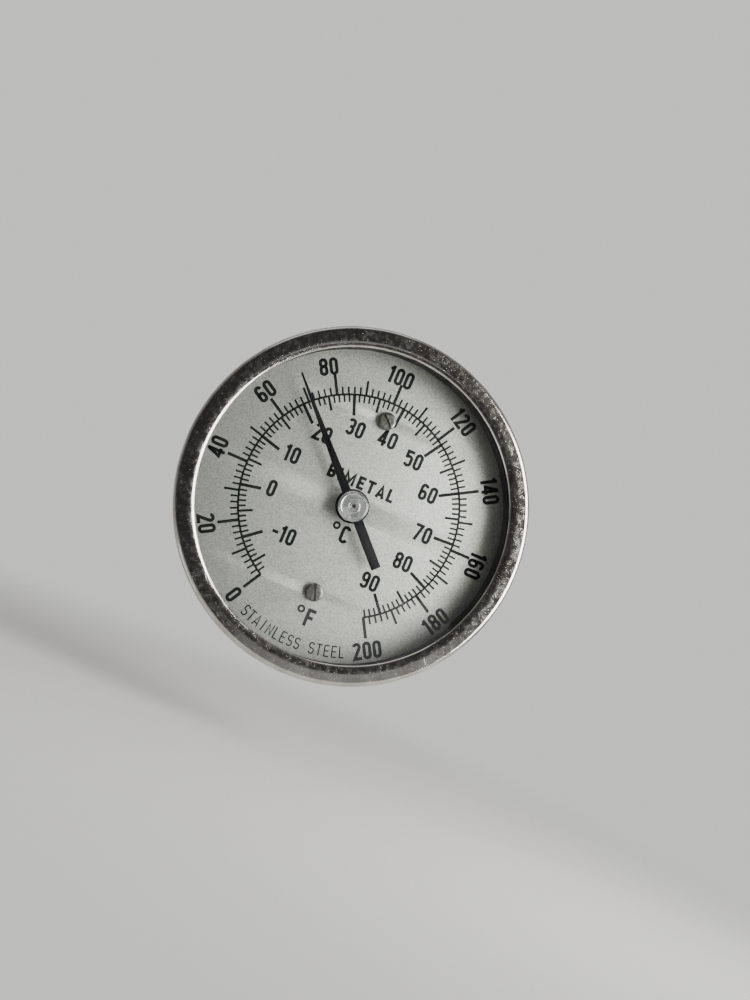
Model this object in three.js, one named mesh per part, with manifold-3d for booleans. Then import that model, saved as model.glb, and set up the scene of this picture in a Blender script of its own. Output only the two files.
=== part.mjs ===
// Back-connected bimetal dial thermometer for a brewing kettle or tank.
//
// The stem's axis is Y. The dial faces -Y with its 12 o'clock mark towards +Z, and the stem points to +Y.
// The origin is on the stem's axis in the plane of the hex shoulder, where the pipe thread begins.
// A dial angle is measured clockwise from 12 o'clock as the reader sees it, which is a positive turn about +Y.
// Lengths are in millimetres and angles in degrees unless a name says otherwise.

import * as THREE from 'three';
import { mergeVertices } from 'three/addons/utils/BufferGeometryUtils.js';
import Module from 'manifold-3d';

const wasm = await Module();
wasm.setup();

// ---------------------------------------------------------------- driving dimensions

// Clearances
const seatGap = 0.1;
const runningGap = 0.1;

// Case, bezel and window
const bezelRadius = 42.5;
const bezelWall = 0.9;
const bezelLipWidth = 5;
const bezelLipThickness = 0.8;
const bezelShoulderRadius = 1.1;
const bezelEdgeRound = 0.25;
const bezelRollWidth = 2.1;
const flangeWidth = 1.5;
const caseWall = 0.8;
const caseCornerRadius = 2.4;
const lensThickness = 2.4;
const lensBevel = 0.4;
const gasketSetback = 0.3;
const gasketThickness = 1.5;
const gasketSkirtWall = 1.2;
const gasketSkirtLift = 0.4;

// Process connection: a hexagon with a tapered pipe thread, 14 threads to the inch
const hexAcrossFlats = 24;
const hexHeight = 10;
const collarRadius = 9.5;
const collarHeight = 1.6;
const threadLength = 17;
const threadPitch = 1.814;
const threadDepth = 1.3;
const threadCrestRadius = 10.86;
const threadTaper = 1 / 32;
const threadRelief = 1.8;
const threadLeadIn = 1.6;
const spigotRadius = 5;
const spigotTip = 0.8;

// Stem and sensing coil
const stemLength = 63.5;
const stemRadius = 3.175;
const stemWall = 0.5;
const stemSeatDepth = 8.8;
const tipPlugCap = 2;
const tipPlugShank = 3.5;
const coilThickness = 0.35;
const coilStripWidth = 1.25;
const coilPitch = 1.85;
const coilAirGap = 0.35;
const coilBossLength = 2;
const anchorDisc = 1.4;
const collarDisc = 2;
const coilStartY = 17.5;
const lowerGuideY = 8;
const lowerGuideLength = 4;
const upperGuideLength = 5;

// Pointer and its shaft
const shaftRadius = 0.8;
const pointerTipMargin = 3.5;
const pointerTipWidth = 0.4;
const pointerRootWidth = 2.2;
const pointerTailLength = 16;
const pointerTailWidth = 2.4;
const pointerEyeRadius = 4.15;
const pointerThickness = 0.4;
const pointerLift = 1.8;
const hubRadius = 3.7;
const hubThickness = 1.3;
const hubBossRadius = 1.9;
const hubBossLength = 0.9;
const hubToLens = 0.5;
const shaftRecess = 0.25;

// Scale and the temperature shown at rest
const degreesPerFahrenheit = 1.5;
const topTemperature = 100;
const restTemperature = 70.5;

// Dial, its screws and posts
const dialThickness = 0.8;
const dialEdgeGap = 0.4;
const dialHoleRadius = 2.8;
const dialScrewCircle = 22.4;
const screwHeadRadius = 2.2;
const screwHeadHeight = 1.2;
const screwHeadDome = 0.45;
const screwSlotWidth = 0.7;
const screwSlotDepth = 0.6;
const screwShankRadius = 1;
const screwLength = 4.6;
const postRadius = 2.3;
const postLength = 5.7;
const postRivetRadius = 1.3;

// Dial carrier, with the toothed arc that the reset pinion drives
const carrierThickness = 1;
const carrierHubRadius = 10.5;
const carrierArmWidth = 8;
const carrierArmMargin = 4;
const bushingWall = 1.1;
const springWasherThickness = 0.3;
const springWasherWave = 0.22;
const springWasherWidth = 2.6;
const springWasherWaves = 3;
const ringThickness = 0.6;
const ringDepth = 0.6;
const ringLand = 1.2;
const ringOpening = 34;

// Reset gear and screw
const gearModule = 0.8;
const pinionTeeth = 12;
const arcTeethEachSide = 4;
const gearBacklash = 0.16;
const gearAddendum = 0.85;
const gearDedendum = 1.25;
const pressureAngle = 20;
const pinionOverhang = 0.25;
const pinionWallMargin = 3;
const resetAngle = 90;
const resetShankRadius = 1.5;
const resetHeadAcrossFlats = 7;
const resetHeadHeight = 3.2;
const resetSlotWidth = 1;
const resetSlotDepth = 1.1;
const resetBossRadius = 2.9;
const resetClipThickness = 0.5;
const resetClipDepth = 0.4;
const resetClipLand = 1.3;
const resetTip = 0.7;
const oringSection = 1;

// Facets round a circle
const largeSteps = 64;
const middleSteps = 36;
const smallSteps = 24;
const arcSteps = 3;
const threadStepsAround = 28;
const threadStepsPerPitch = 5;
const coilStepsPerTurn = 10;

// ---------------------------------------------------------------- sizes that follow

const bezelBore = bezelRadius - bezelWall;
const lipRadius = bezelRadius - bezelLipWidth;
const flangeRadius = bezelBore - seatGap;
const caseRadius = flangeRadius - flangeWidth;
const caseBore = caseRadius - caseWall;
const dialRadius = caseBore - dialEdgeGap;
const gasketBore = lipRadius + gasketSetback;
const spigotHoleRadius = spigotRadius + seatGap;

// Places along Y, from the case back towards the reader
const caseBackY = -(hexHeight + collarHeight);
const caseFloorY = caseBackY - caseWall;
const springWasherHeight = springWasherThickness + 2 * springWasherWave;
const springWasherY = caseFloorY - seatGap - springWasherHeight / 2;
const carrierBackY = caseFloorY - 2 * seatGap - springWasherHeight;
const carrierFrontY = carrierBackY - carrierThickness;
const ringBackY = carrierFrontY - seatGap;
const ringFrontY = ringBackY - ringThickness;
const spigotEndY = ringFrontY - seatGap - spigotTip;
const postBackY = carrierFrontY - seatGap;
const postFrontY = postBackY - postLength;
const dialBackY = postFrontY - seatGap;
const dialFaceY = dialBackY - dialThickness;
const pointerBackY = dialFaceY - seatGap - screwHeadHeight - pointerLift;
const pointerFrontY = pointerBackY - pointerThickness;
const hubBackY = pointerFrontY - seatGap;
const hubFrontY = hubBackY - hubThickness;
const lensBackY = hubFrontY - hubToLens;
const lensFrontY = lensBackY - lensThickness;
const bezelFrontY = lensFrontY - seatGap - bezelLipThickness;
const flangeFrontY = lensBackY + gasketThickness + 2 * seatGap;
const flangeBackY = flangeFrontY + caseWall;
const bezelRollY = flangeBackY + seatGap;
const bezelBackY = bezelRollY + bezelWall;

// Fits in the fitting and the stem
const shaftBore = shaftRadius + runningGap;
const stemBore = stemRadius - stemWall;
const stemPieceRadius = stemBore - seatGap;
const stemSeatRadius = stemRadius + seatGap;
const stemSeatY = -stemSeatDepth;
const stemTopY = stemSeatY + seatGap;
const stemEndY = stemLength - tipPlugCap - seatGap;
const guideSeatRadius = stemBore;
const coilOuterRadius = stemBore - coilAirGap;
const coilInnerRadius = coilOuterRadius - coilThickness;
const coilBossRadius = coilInnerRadius * Math.cos(Math.PI / coilStepsPerTurn) - seatGap;
const plugInnerY = stemLength - tipPlugCap - tipPlugShank;
const anchorBackY = plugInnerY - seatGap;
const coilEndY = anchorBackY - anchorDisc - seatGap;
const collarY = coilStartY - seatGap;

// Retaining ring and reset gear
const ringGrooveRadius = spigotRadius - ringDepth;
const bushingRadius = spigotRadius + seatGap + bushingWall;
const carrierBore = bushingRadius + runningGap;
const pinionRadius = gearModule * pinionTeeth / 2;
const pinionReach = pinionRadius + gearModule * gearAddendum;
const arcTeeth = Math.floor(2 * (caseBore - pinionWallMargin - pinionReach) / gearModule) - pinionTeeth;
const arcRadius = gearModule * arcTeeth / 2;
const resetOffset = arcRadius + pinionRadius;
const pinionBackY = carrierBackY + pinionOverhang;
const pinionFrontY = carrierFrontY - pinionOverhang;
const resetClipBackY = pinionFrontY - seatGap;
const resetClipFrontY = resetClipBackY - resetClipThickness;
const resetHeadSeatY = caseBackY + 2 * seatGap + oringSection;
const resetEndY = resetClipFrontY - seatGap - resetTip;
const resetHoleRadius = resetShankRadius + runningGap;

// ---------------------------------------------------------------- solids

const radians = THREE.MathUtils.degToRad;

// The point at a dial angle and a radius, as x and z seen by the reader.
function onDial(angle, radius) {
  return new THREE.Vector2(radius * Math.sin(angle), radius * Math.cos(angle));
}

// Turns a solid's triangles round if they point inwards.
function facingOut(geometry) {
  const solid = geometry.index ? geometry : mergeVertices(geometry);
  const index = solid.index.array;
  const corner = [new THREE.Vector3(), new THREE.Vector3(), new THREE.Vector3()];
  let volume = 0;
  for (let i = 0; i < index.length; i += 3) {
    corner.forEach((point, k) => point.fromBufferAttribute(solid.attributes.position, index[i + k]));
    volume += corner[0].dot(corner[1].cross(corner[2]));
  }
  if (volume < 0) {
    for (let i = 0; i < index.length; i += 3) {
      [index[i], index[i + 1]] = [index[i + 1], index[i]];
    }
  }
  return solid;
}

// Only positions, with every shared corner merged.
function bare(geometry) {
  const copy = geometry.clone();
  copy.deleteAttribute('normal');
  copy.deleteAttribute('uv');
  return facingOut(mergeVertices(copy));
}

function toManifold(geometry) {
  const solid = bare(geometry);
  return new wasm.Manifold(new wasm.Mesh({
    numProp: 3,
    vertProperties: new Float32Array(solid.attributes.position.array),
    triVerts: new Uint32Array(solid.index.array),
  }));
}

function toGeometry(manifold) {
  const mesh = manifold.getMesh();
  const geometry = new THREE.BufferGeometry();
  geometry.setAttribute('position', new THREE.BufferAttribute(mesh.vertProperties, 3));
  geometry.setIndex(new THREE.BufferAttribute(mesh.triVerts, 1));
  return geometry;
}

// Joins the first solids and cuts the others from them.
function combine(joined, cuts = []) {
  let result = toManifold(joined[0]);
  joined.slice(1).forEach((solid) => { result = result.add(toManifold(solid)); });
  cuts.forEach((solid) => { result = result.subtract(toManifold(solid)); });
  return toGeometry(result);
}

// A profile of [radius, y] pairs turned about Y. A profile that stays off the axis closes on itself.
function turned(profile, steps) {
  const points = profile.map(([radius, y]) => new THREE.Vector2(radius, y));
  if (points[0].x > 0 || points[points.length - 1].x > 0) {
    points.push(points[0].clone());
  }
  return bare(new THREE.LatheGeometry(points, steps));
}

// [radius, y] pairs round a quarter circle between two directions given in degrees from +radius towards +y.
function corner(centreRadius, centreY, radius, from, to) {
  return Array.from({ length: arcSteps + 1 }, (_, i) => {
    const angle = radians(from + (to - from) * i / arcSteps);
    return [centreRadius + radius * Math.cos(angle), centreY + radius * Math.sin(angle)];
  });
}

function tube(innerRadius, outerRadius, frontY, backY, steps) {
  return turned([[innerRadius, frontY], [outerRadius, frontY], [outerRadius, backY], [innerRadius, backY]], steps);
}

function rod(radius, frontY, backY, steps) {
  return turned([[0, frontY], [radius, frontY], [radius, backY], [0, backY]], steps);
}

// A flat outline in x and z, given thickness from its back plane towards the reader.
function plate(outline, backY, thickness, holes = []) {
  const anticlockwise = THREE.ShapeUtils.isClockWise(outline) ? [...outline].reverse() : outline;
  const shape = new THREE.Shape(anticlockwise);
  holes.forEach((hole) => shape.holes.push(new THREE.Path(hole)));
  const geometry = new THREE.ExtrudeGeometry(shape, { depth: thickness, bevelEnabled: false });
  return bare(geometry.rotateX(Math.PI / 2).translate(0, backY, 0));
}

function circle(radius, steps, centre = new THREE.Vector2()) {
  return Array.from({ length: steps }, (_, i) => onDial(2 * Math.PI * i / steps, radius).add(centre));
}

// A hexagon with two of its flats facing up and down.
function hexagon(acrossFlats) {
  const cornerRadius = acrossFlats / Math.sqrt(3);
  return Array.from({ length: 6 }, (_, i) => onDial(radians(30 + 60 * i), cornerRadius));
}

// A solid whose skin runs through closed rings of points, capped at its first and last ring.
function ringed(rings) {
  const count = rings[0].length;
  const middle = (ring) => ring.reduce((sum, p) => sum.add(p), new THREE.Vector3()).divideScalar(count);
  const points = [...rings.flat(), middle(rings[0]), middle(rings[rings.length - 1])];
  const firstCap = rings.length * count;
  const index = [];
  for (let row = 0; row < rings.length - 1; row += 1) {
    for (let i = 0; i < count; i += 1) {
      const a = row * count + i;
      const b = row * count + (i + 1) % count;
      index.push(a, b, a + count, b, b + count, a + count);
    }
  }
  const lastRow = (rings.length - 1) * count;
  for (let i = 0; i < count; i += 1) {
    const next = (i + 1) % count;
    index.push(firstCap, next, i);
    index.push(firstCap + 1, lastRow + i, lastRow + next);
  }
  const geometry = new THREE.BufferGeometry().setFromPoints(points);
  geometry.setIndex(index);
  return facingOut(geometry);
}

// A ring of rectangular section with an opening, so that it can spring into a groove.
function splitRing(innerRadius, outerRadius, frontY, backY, openingAngle) {
  const whole = tube(innerRadius, outerRadius, frontY, backY, smallSteps);
  const reach = 2 * outerRadius;
  const halfOpening = radians(openingAngle / 2);
  const wedge = [new THREE.Vector2(), onDial(-halfOpening, reach), onDial(halfOpening, reach)];
  return combine([whole], [plate(wedge, backY + seatGap, backY - frontY + 2 * seatGap)]);
}

// ---------------------------------------------------------------- case, bezel and window

// A drawn cup with a rounded bottom edge, and a flange turned outwards at its mouth.
function caseCup() {
  const innerCorner = caseCornerRadius - caseWall;
  const cup = turned([
    [spigotHoleRadius, caseBackY],
    ...corner(caseRadius - caseCornerRadius, caseBackY - caseCornerRadius, caseCornerRadius, 90, 0),
    [caseRadius, flangeBackY],
    [flangeRadius, flangeBackY],
    [flangeRadius, flangeFrontY],
    [caseBore, flangeFrontY],
    ...corner(caseBore - innerCorner, caseFloorY - innerCorner, innerCorner, 0, 90),
    [spigotHoleRadius, caseFloorY],
  ], largeSteps);
  const hole = circle(resetHoleRadius, smallSteps, onDial(radians(resetAngle), resetOffset));
  return combine([cup], [plate(hole, caseBackY + seatGap, caseWall + 2 * seatGap)]);
}

// A rim with a flat front lip over the window, rolled in behind the case flange.
function bezelRing() {
  const shoulder = bezelShoulderRadius;
  const roll = bezelWall;
  return turned([
    [lipRadius, lensFrontY - seatGap],
    [lipRadius, bezelFrontY + bezelEdgeRound],
    [lipRadius + bezelEdgeRound, bezelFrontY],
    ...corner(bezelRadius - shoulder, bezelFrontY + shoulder, shoulder, -90, 0),
    ...corner(bezelRadius - roll, bezelBackY - roll, roll, 0, 90),
    [bezelRadius - bezelRollWidth, bezelBackY],
    [bezelRadius - bezelRollWidth, bezelRollY],
    [bezelBore, bezelRollY],
    [bezelBore, lensFrontY - seatGap],
  ], largeSteps);
}

function lens() {
  const radius = bezelBore - seatGap;
  return turned([
    [0, lensFrontY],
    [radius - lensBevel, lensFrontY],
    [radius, lensFrontY + lensBevel],
    [radius, lensBackY - lensBevel],
    [radius - lensBevel, lensBackY],
    [0, lensBackY],
  ], largeSteps);
}

// An L-section seal: a flat part under the window and a skirt down inside the case.
function lensGasket() {
  const flatFrontY = lensBackY + seatGap;
  const flatBackY = flangeFrontY - seatGap;
  const skirtRadius = gasketBore + gasketSkirtWall;
  return turned([
    [gasketBore, flatFrontY],
    [flangeRadius - seatGap, flatFrontY],
    [flangeRadius - seatGap, flatBackY],
    [skirtRadius, flatBackY],
    [skirtRadius, dialFaceY - gasketSkirtLift],
    [gasketBore, dialFaceY - gasketSkirtLift],
  ], largeSteps);
}

// ---------------------------------------------------------------- process connection and stem

// The height of a 60 degree thread form, from 0 at its root to 1 at its crest, with both cut flat.
function threadForm(turns) {
  const phase = turns - Math.floor(turns);
  const flankSlope = 1.35;
  return THREE.MathUtils.clamp(0.5 + flankSlope * (0.5 - 2 * Math.abs(phase - 0.5)), 0, 1);
}

function threadedBody() {
  const length = threadLength - threadRelief;
  const rows = Math.round(length / threadPitch * threadStepsPerPitch);
  return ringed(Array.from({ length: rows + 1 }, (_, row) => {
    const y = threadRelief + length * row / rows;
    const crest = threadCrestRadius - threadTaper * y;
    const leadIn = crest - threadDepth + Math.min(threadLength - y, threadLeadIn) * threadDepth / threadLeadIn;
    return Array.from({ length: threadStepsAround }, (__, i) => {
      const turn = i / threadStepsAround;
      const root = crest - threadDepth;
      const radius = Math.min(root + threadDepth * threadForm(y / threadPitch - turn), leadIn);
      const point = onDial(2 * Math.PI * turn, radius);
      return new THREE.Vector3(point.x, y, point.y);
    });
  }));
}

// Hexagon, collar, thread and the spigot that passes through the case back, bored for the stem and the shaft.
function hexFitting() {
  const rootRadius = threadCrestRadius - threadDepth - threadTaper * threadLength;
  const core = turned([
    [0, spigotEndY],
    [spigotRadius, spigotEndY],
    [spigotRadius, ringFrontY - seatGap],
    [ringGrooveRadius, ringFrontY - seatGap],
    [ringGrooveRadius, ringBackY + seatGap],
    [spigotRadius, ringBackY + seatGap],
    [spigotRadius, caseBackY + seatGap],
    [collarRadius, caseBackY + seatGap],
    [collarRadius, -hexHeight / 2],
    [rootRadius - seatGap, -hexHeight / 2],
    [rootRadius - seatGap, threadLength - threadLeadIn],
    [0, threadLength - threadLeadIn],
  ], middleSteps);
  const hex = plate(hexagon(hexAcrossFlats), 0, hexHeight);
  const stemHole = rod(stemSeatRadius, stemSeatY, threadLength + seatGap, smallSteps);
  const guideHole = rod(guideSeatRadius, spigotEndY - seatGap, stemSeatY + seatGap, smallSteps);
  return combine([core, hex, threadedBody()], [stemHole, guideHole]);
}

function stemTube() {
  return tube(stemBore, stemRadius, stemTopY, stemEndY, smallSteps);
}

// A plug with a round nose, welded into the end of the stem.
function stemTipPlug() {
  const nose = tipPlugCap * 0.75;
  return turned([
    [0, plugInnerY],
    [stemPieceRadius, plugInnerY],
    [stemPieceRadius, stemLength - tipPlugCap],
    [stemRadius, stemLength - tipPlugCap],
    ...corner(stemRadius - nose, stemLength - nose, nose, 0, 90),
    [0, stemLength],
  ], smallSteps);
}

// The fixed end of the sensing coil: a disc held by the tip plug, with a boss inside the last turns.
function coilAnchor() {
  return turned([
    [0, coilEndY - coilBossLength],
    [coilBossRadius, coilEndY - coilBossLength],
    [coilBossRadius, coilEndY + seatGap],
    [stemPieceRadius, coilEndY + seatGap],
    [stemPieceRadius, anchorBackY],
    [0, anchorBackY],
  ], smallSteps);
}

// The turning end of the coil: a collar on the shaft, with a boss inside the first turns.
function coilCollar() {
  return turned([
    [shaftBore, collarY - collarDisc],
    [coilOuterRadius, collarY - collarDisc],
    [coilOuterRadius, collarY],
    [coilBossRadius, collarY],
    [coilBossRadius, coilStartY + coilBossLength],
    [shaftBore, coilStartY + coilBossLength],
  ], smallSteps);
}

// A flat strip wound into a helix, with its width along the stem.
function bimetalCoil() {
  const climb = coilEndY - coilStartY - coilStripWidth;
  const turns = Math.floor(climb / coilPitch);
  const steps = turns * coilStepsPerTurn;
  return ringed(Array.from({ length: steps + 1 }, (_, step) => {
    const angle = 2 * Math.PI * step / coilStepsPerTurn;
    const nearY = coilStartY + climb * step / steps;
    const inner = onDial(angle, coilInnerRadius);
    const outer = onDial(angle, coilOuterRadius);
    return [[inner, 0], [outer, 0], [outer, coilStripWidth], [inner, coilStripWidth]].map(
      ([point, along]) => new THREE.Vector3(point.x, nearY + along, point.y),
    );
  }));
}

// ---------------------------------------------------------------- pointer

function pointerShaft() {
  return rod(shaftRadius, hubFrontY + shaftRecess, coilStartY + coilBossLength, smallSteps);
}

function guideBushingUpper() {
  return tube(shaftBore, guideSeatRadius - seatGap, spigotEndY, spigotEndY + upperGuideLength, smallSteps);
}

function guideBushingLower() {
  return tube(shaftBore, stemPieceRadius, lowerGuideY, lowerGuideY + lowerGuideLength, smallSteps);
}

// A tapered blade and a square-ended tail on a round eye.
function pointer() {
  const tipReach = lipRadius - pointerTipMargin;
  const bladeAngle = Math.asin(pointerRootWidth / 2 / pointerEyeRadius);
  const tailAngle = Math.PI - Math.asin(pointerTailWidth / 2 / pointerEyeRadius);
  const rightSide = [new THREE.Vector2(pointerTipWidth / 2, tipReach)];
  for (let i = 0; i <= 2 * arcSteps; i += 1) {
    rightSide.push(onDial(bladeAngle + (tailAngle - bladeAngle) * i / (2 * arcSteps), pointerEyeRadius));
  }
  rightSide.push(new THREE.Vector2(pointerTailWidth / 2, -pointerTailLength));
  const leftSide = rightSide.map((point) => new THREE.Vector2(-point.x, point.y)).reverse();
  const eye = circle(hubBossRadius + seatGap, smallSteps);
  return plate([...rightSide, ...leftSide], pointerBackY, pointerThickness, [eye]);
}

// A turned disc in front of the blade, with a boss through its eye that grips the shaft.
function pointerHub() {
  return turned([
    [shaftBore, hubFrontY],
    [hubRadius, hubFrontY],
    [hubRadius, hubBackY],
    [hubBossRadius, hubBackY],
    [hubBossRadius, pointerBackY + hubBossLength],
    [shaftBore, pointerBackY + hubBossLength],
  ], middleSteps);
}

// ---------------------------------------------------------------- dial

function dialPlate() {
  const screwHole = screwShankRadius + 2 * seatGap;
  const holes = [circle(dialHoleRadius, smallSteps)];
  [1, -1].forEach((side) => {
    holes.push(circle(screwHole, smallSteps, new THREE.Vector2(0, side * dialScrewCircle)));
  });
  return plate(circle(dialRadius, largeSteps), dialBackY, dialThickness, holes);
}

// A slotted pan head screw on the axis; it is moved out to its place on the dial.
function dialScrew() {
  const headBackY = dialFaceY - seatGap;
  const headFrontY = headBackY - screwHeadHeight;
  const screw = turned([
    [0, headFrontY],
    [screwHeadRadius - screwHeadDome, headFrontY],
    [screwHeadRadius, headFrontY + screwHeadDome],
    [screwHeadRadius, headBackY],
    [screwShankRadius, headBackY],
    [screwShankRadius, headBackY + screwLength],
    [0, headBackY + screwLength],
  ], smallSteps);
  const slot = new THREE.BoxGeometry(screwSlotWidth, 2 * screwSlotDepth, 3 * screwHeadRadius);
  return combine([screw], [slot.translate(0, headFrontY, 0)]);
}

// A round post on the axis, riveted through the carrier and bored for the dial screw.
function dialPost() {
  const threadRadius = screwShankRadius + seatGap;
  const holeEndY = dialFaceY + screwLength + seatGap;
  const solid = turned([
    [0, postFrontY],
    [postRadius, postFrontY],
    [postRadius, postBackY],
    [postRivetRadius, postBackY],
    [postRivetRadius, carrierBackY],
    [0, carrierBackY],
  ], smallSteps);
  return combine([solid], [rod(threadRadius, postFrontY - seatGap, holeEndY, smallSteps)]);
}

// ---------------------------------------------------------------- carrier and reset gear

// Half the angle that an involute tooth fills at a radius.
function toothHalfAngle(radius, pitchRadius, teeth) {
  const involute = (angle) => Math.tan(angle) - angle;
  const baseRadius = pitchRadius * Math.cos(radians(pressureAngle));
  const angleThere = Math.acos(Math.min(1, baseRadius / Math.max(radius, baseRadius)));
  const atPitch = Math.PI / (2 * teeth) - gearBacklash / (2 * pitchRadius);
  return atPitch + involute(radians(pressureAngle)) - involute(angleThere);
}

// One tooth's outline about its own dial angle, from root to tip and back.
function toothOutline(centreAngle, pitchRadius, teeth) {
  const rootRadius = pitchRadius - gearModule * gearDedendum;
  const tipRadius = pitchRadius + gearModule * gearAddendum;
  const radii = Array.from({ length: arcSteps + 1 }, (_, i) => rootRadius + (tipRadius - rootRadius) * i / arcSteps);
  const rising = radii.map((r) => onDial(centreAngle - toothHalfAngle(r, pitchRadius, teeth), r));
  const falling = radii.map((r) => onDial(centreAngle + toothHalfAngle(r, pitchRadius, teeth), r)).reverse();
  return [...rising, ...falling];
}

// A hub with two arms for the dial posts and an arc of gear teeth towards the reset pinion.
function dialCarrier() {
  const pitchAngle = 2 * Math.PI / arcTeeth;
  const facing = radians(resetAngle);
  const arc = [new THREE.Vector2()];
  for (let tooth = -arcTeethEachSide; tooth <= arcTeethEachSide; tooth += 1) {
    arc.push(...toothOutline(facing + tooth * pitchAngle, arcRadius, arcTeeth));
  }
  const armLength = 2 * (dialScrewCircle + carrierArmMargin);
  const arms = new THREE.BoxGeometry(carrierArmWidth, carrierThickness, armLength);
  arms.translate(0, carrierBackY - carrierThickness / 2, 0);
  const hub = plate(circle(carrierHubRadius, middleSteps), carrierBackY, carrierThickness);
  const cutBackY = carrierBackY + seatGap;
  const cutDepth = carrierThickness + 2 * seatGap;
  const holes = [plate(circle(carrierBore, middleSteps), cutBackY, cutDepth)];
  [1, -1].forEach((side) => {
    const centre = new THREE.Vector2(0, side * dialScrewCircle);
    holes.push(plate(circle(postRivetRadius + seatGap, smallSteps, centre), cutBackY, cutDepth));
  });
  return combine([hub, arms, plate(arc, carrierBackY, carrierThickness)], holes);
}

function carrierBushing() {
  return tube(spigotHoleRadius, bushingRadius, carrierFrontY, caseFloorY - seatGap, middleSteps);
}

// A thin ring pressed into waves, which presses the carrier against its retaining ring.
function carrierSpringWasher() {
  const inner = bushingRadius + 2 * seatGap;
  const half = springWasherThickness / 2;
  const washer = tube(inner, inner + springWasherWidth, -half, half, middleSteps);
  const position = washer.attributes.position;
  for (let i = 0; i < position.count; i += 1) {
    const angle = Math.atan2(position.getX(i), position.getZ(i));
    position.setY(i, springWasherY + position.getY(i) + springWasherWave * Math.cos(springWasherWaves * angle));
  }
  return washer;
}

function carrierRetainingRing() {
  return splitRing(ringGrooveRadius + seatGap, bushingRadius + ringLand, ringFrontY, ringBackY, ringOpening);
}

// The pinion, its boss against the case floor, and its bore, on the axis of the screw that turns it.
function resetPinion() {
  const outline = [];
  for (let tooth = 0; tooth < pinionTeeth; tooth += 1) {
    const centreAngle = radians(resetAngle) + 2 * Math.PI * (tooth + 0.5) / pinionTeeth;
    outline.push(...toothOutline(centreAngle, pinionRadius, pinionTeeth));
  }
  const gear = plate(outline, pinionBackY, pinionBackY - pinionFrontY);
  const boss = rod(resetBossRadius, pinionFrontY, caseFloorY - seatGap, smallSteps);
  const bore = rod(resetShankRadius + seatGap, pinionFrontY - seatGap, caseFloorY, smallSteps);
  return combine([gear, boss], [bore]);
}

// A hex head with a screwdriver slot, and a shank through the case back with a groove for its clip.
function resetScrew() {
  const grooveRadius = resetShankRadius - resetClipDepth;
  const shank = turned([
    [0, resetEndY],
    [resetShankRadius, resetEndY],
    [resetShankRadius, resetClipFrontY - seatGap],
    [grooveRadius, resetClipFrontY - seatGap],
    [grooveRadius, resetClipBackY + seatGap],
    [resetShankRadius, resetClipBackY + seatGap],
    [resetShankRadius, resetHeadSeatY + resetHeadHeight / 2],
    [0, resetHeadSeatY + resetHeadHeight / 2],
  ], smallSteps);
  const headTopY = resetHeadSeatY + resetHeadHeight;
  const head = plate(hexagon(resetHeadAcrossFlats), headTopY, resetHeadHeight);
  const slot = new THREE.BoxGeometry(2 * resetHeadAcrossFlats, 2 * resetSlotDepth, resetSlotWidth);
  return combine([shank, head], [slot.translate(0, headTopY, 0)]);
}

function resetRetainingClip() {
  const inner = resetShankRadius - resetClipDepth + seatGap;
  const outer = resetShankRadius + resetClipLand;
  return splitRing(inner, outer, resetClipFrontY, resetClipBackY, ringOpening);
}

// A rubber ring of round section between the reset screw's head and the case back.
function resetOring() {
  const section = oringSection / 2;
  const ring = new THREE.TorusGeometry(resetShankRadius + seatGap + section, section, 2 * arcSteps, smallSteps);
  return bare(ring.rotateX(Math.PI / 2).translate(0, caseBackY + seatGap + section, 0));
}

// ---------------------------------------------------------------- finishes

const finish = (color, roughness, metalness, extra = {}) => (
  new THREE.MeshStandardMaterial({ color, roughness, metalness, ...extra })
);

const polishedSteel = () => finish(0xcfd1d2, 0.16, 1);
const brushedSteel = () => finish(0xb9bbbc, 0.32, 1);
const springSteel = () => finish(0x8f9294, 0.35, 1);
const platedScrew = () => finish(0xc4c2bb, 0.28, 1);
const brass = () => finish(0xb99a55, 0.35, 1);
const satinSilver = () => finish(0xbdbcb6, 0.5, 0.35);
const turnedAluminium = () => finish(0xd9dadb, 0.22, 1);
const blackPaint = () => finish(0x111112, 0.45, 0);
const blackRubber = () => finish(0x0d0d0e, 0.75, 0);
const bimetal = () => finish(0x9c958c, 0.4, 1);
const bronze = () => finish(0x9a6f45, 0.45, 1);
const clearGlass = () => finish(0xe9eef0, 0.03, 0, { transparent: true, opacity: 0.3 });

// ---------------------------------------------------------------- assembly

const thermometer = new THREE.Group();

function add(parent, name, geometry, material) {
  const mesh = new THREE.Mesh(geometry, material);
  mesh.name = name;
  parent.add(mesh);
  return mesh;
}

add(thermometer, 'case_cup', caseCup(), brushedSteel());
add(thermometer, 'bezel_ring', bezelRing(), polishedSteel());
add(thermometer, 'lens', lens(), clearGlass());
add(thermometer, 'lens_gasket', lensGasket(), blackRubber());
add(thermometer, 'hex_fitting', hexFitting(), brushedSteel());
add(thermometer, 'stem_tube', stemTube(), brushedSteel());
add(thermometer, 'stem_tip_plug', stemTipPlug(), brushedSteel());
add(thermometer, 'coil_anchor', coilAnchor(), brass());
add(thermometer, 'bimetal_coil', bimetalCoil(), bimetal());
add(thermometer, 'guide_bushing_upper', guideBushingUpper(), bronze());
add(thermometer, 'guide_bushing_lower', guideBushingLower(), bronze());
add(thermometer, 'carrier_bushing', carrierBushing(), brass());
add(thermometer, 'carrier_spring_washer', carrierSpringWasher(), springSteel());
add(thermometer, 'carrier_retaining_ring', carrierRetainingRing(), springSteel());

const pointerSide = new THREE.Group();
pointerSide.rotation.y = radians((restTemperature - topTemperature) * degreesPerFahrenheit);
thermometer.add(pointerSide);
add(pointerSide, 'pointer_shaft', pointerShaft(), springSteel());
add(pointerSide, 'coil_collar', coilCollar(), brass());
add(pointerSide, 'pointer', pointer(), blackPaint());
add(pointerSide, 'pointer_hub', pointerHub(), turnedAluminium());

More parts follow.
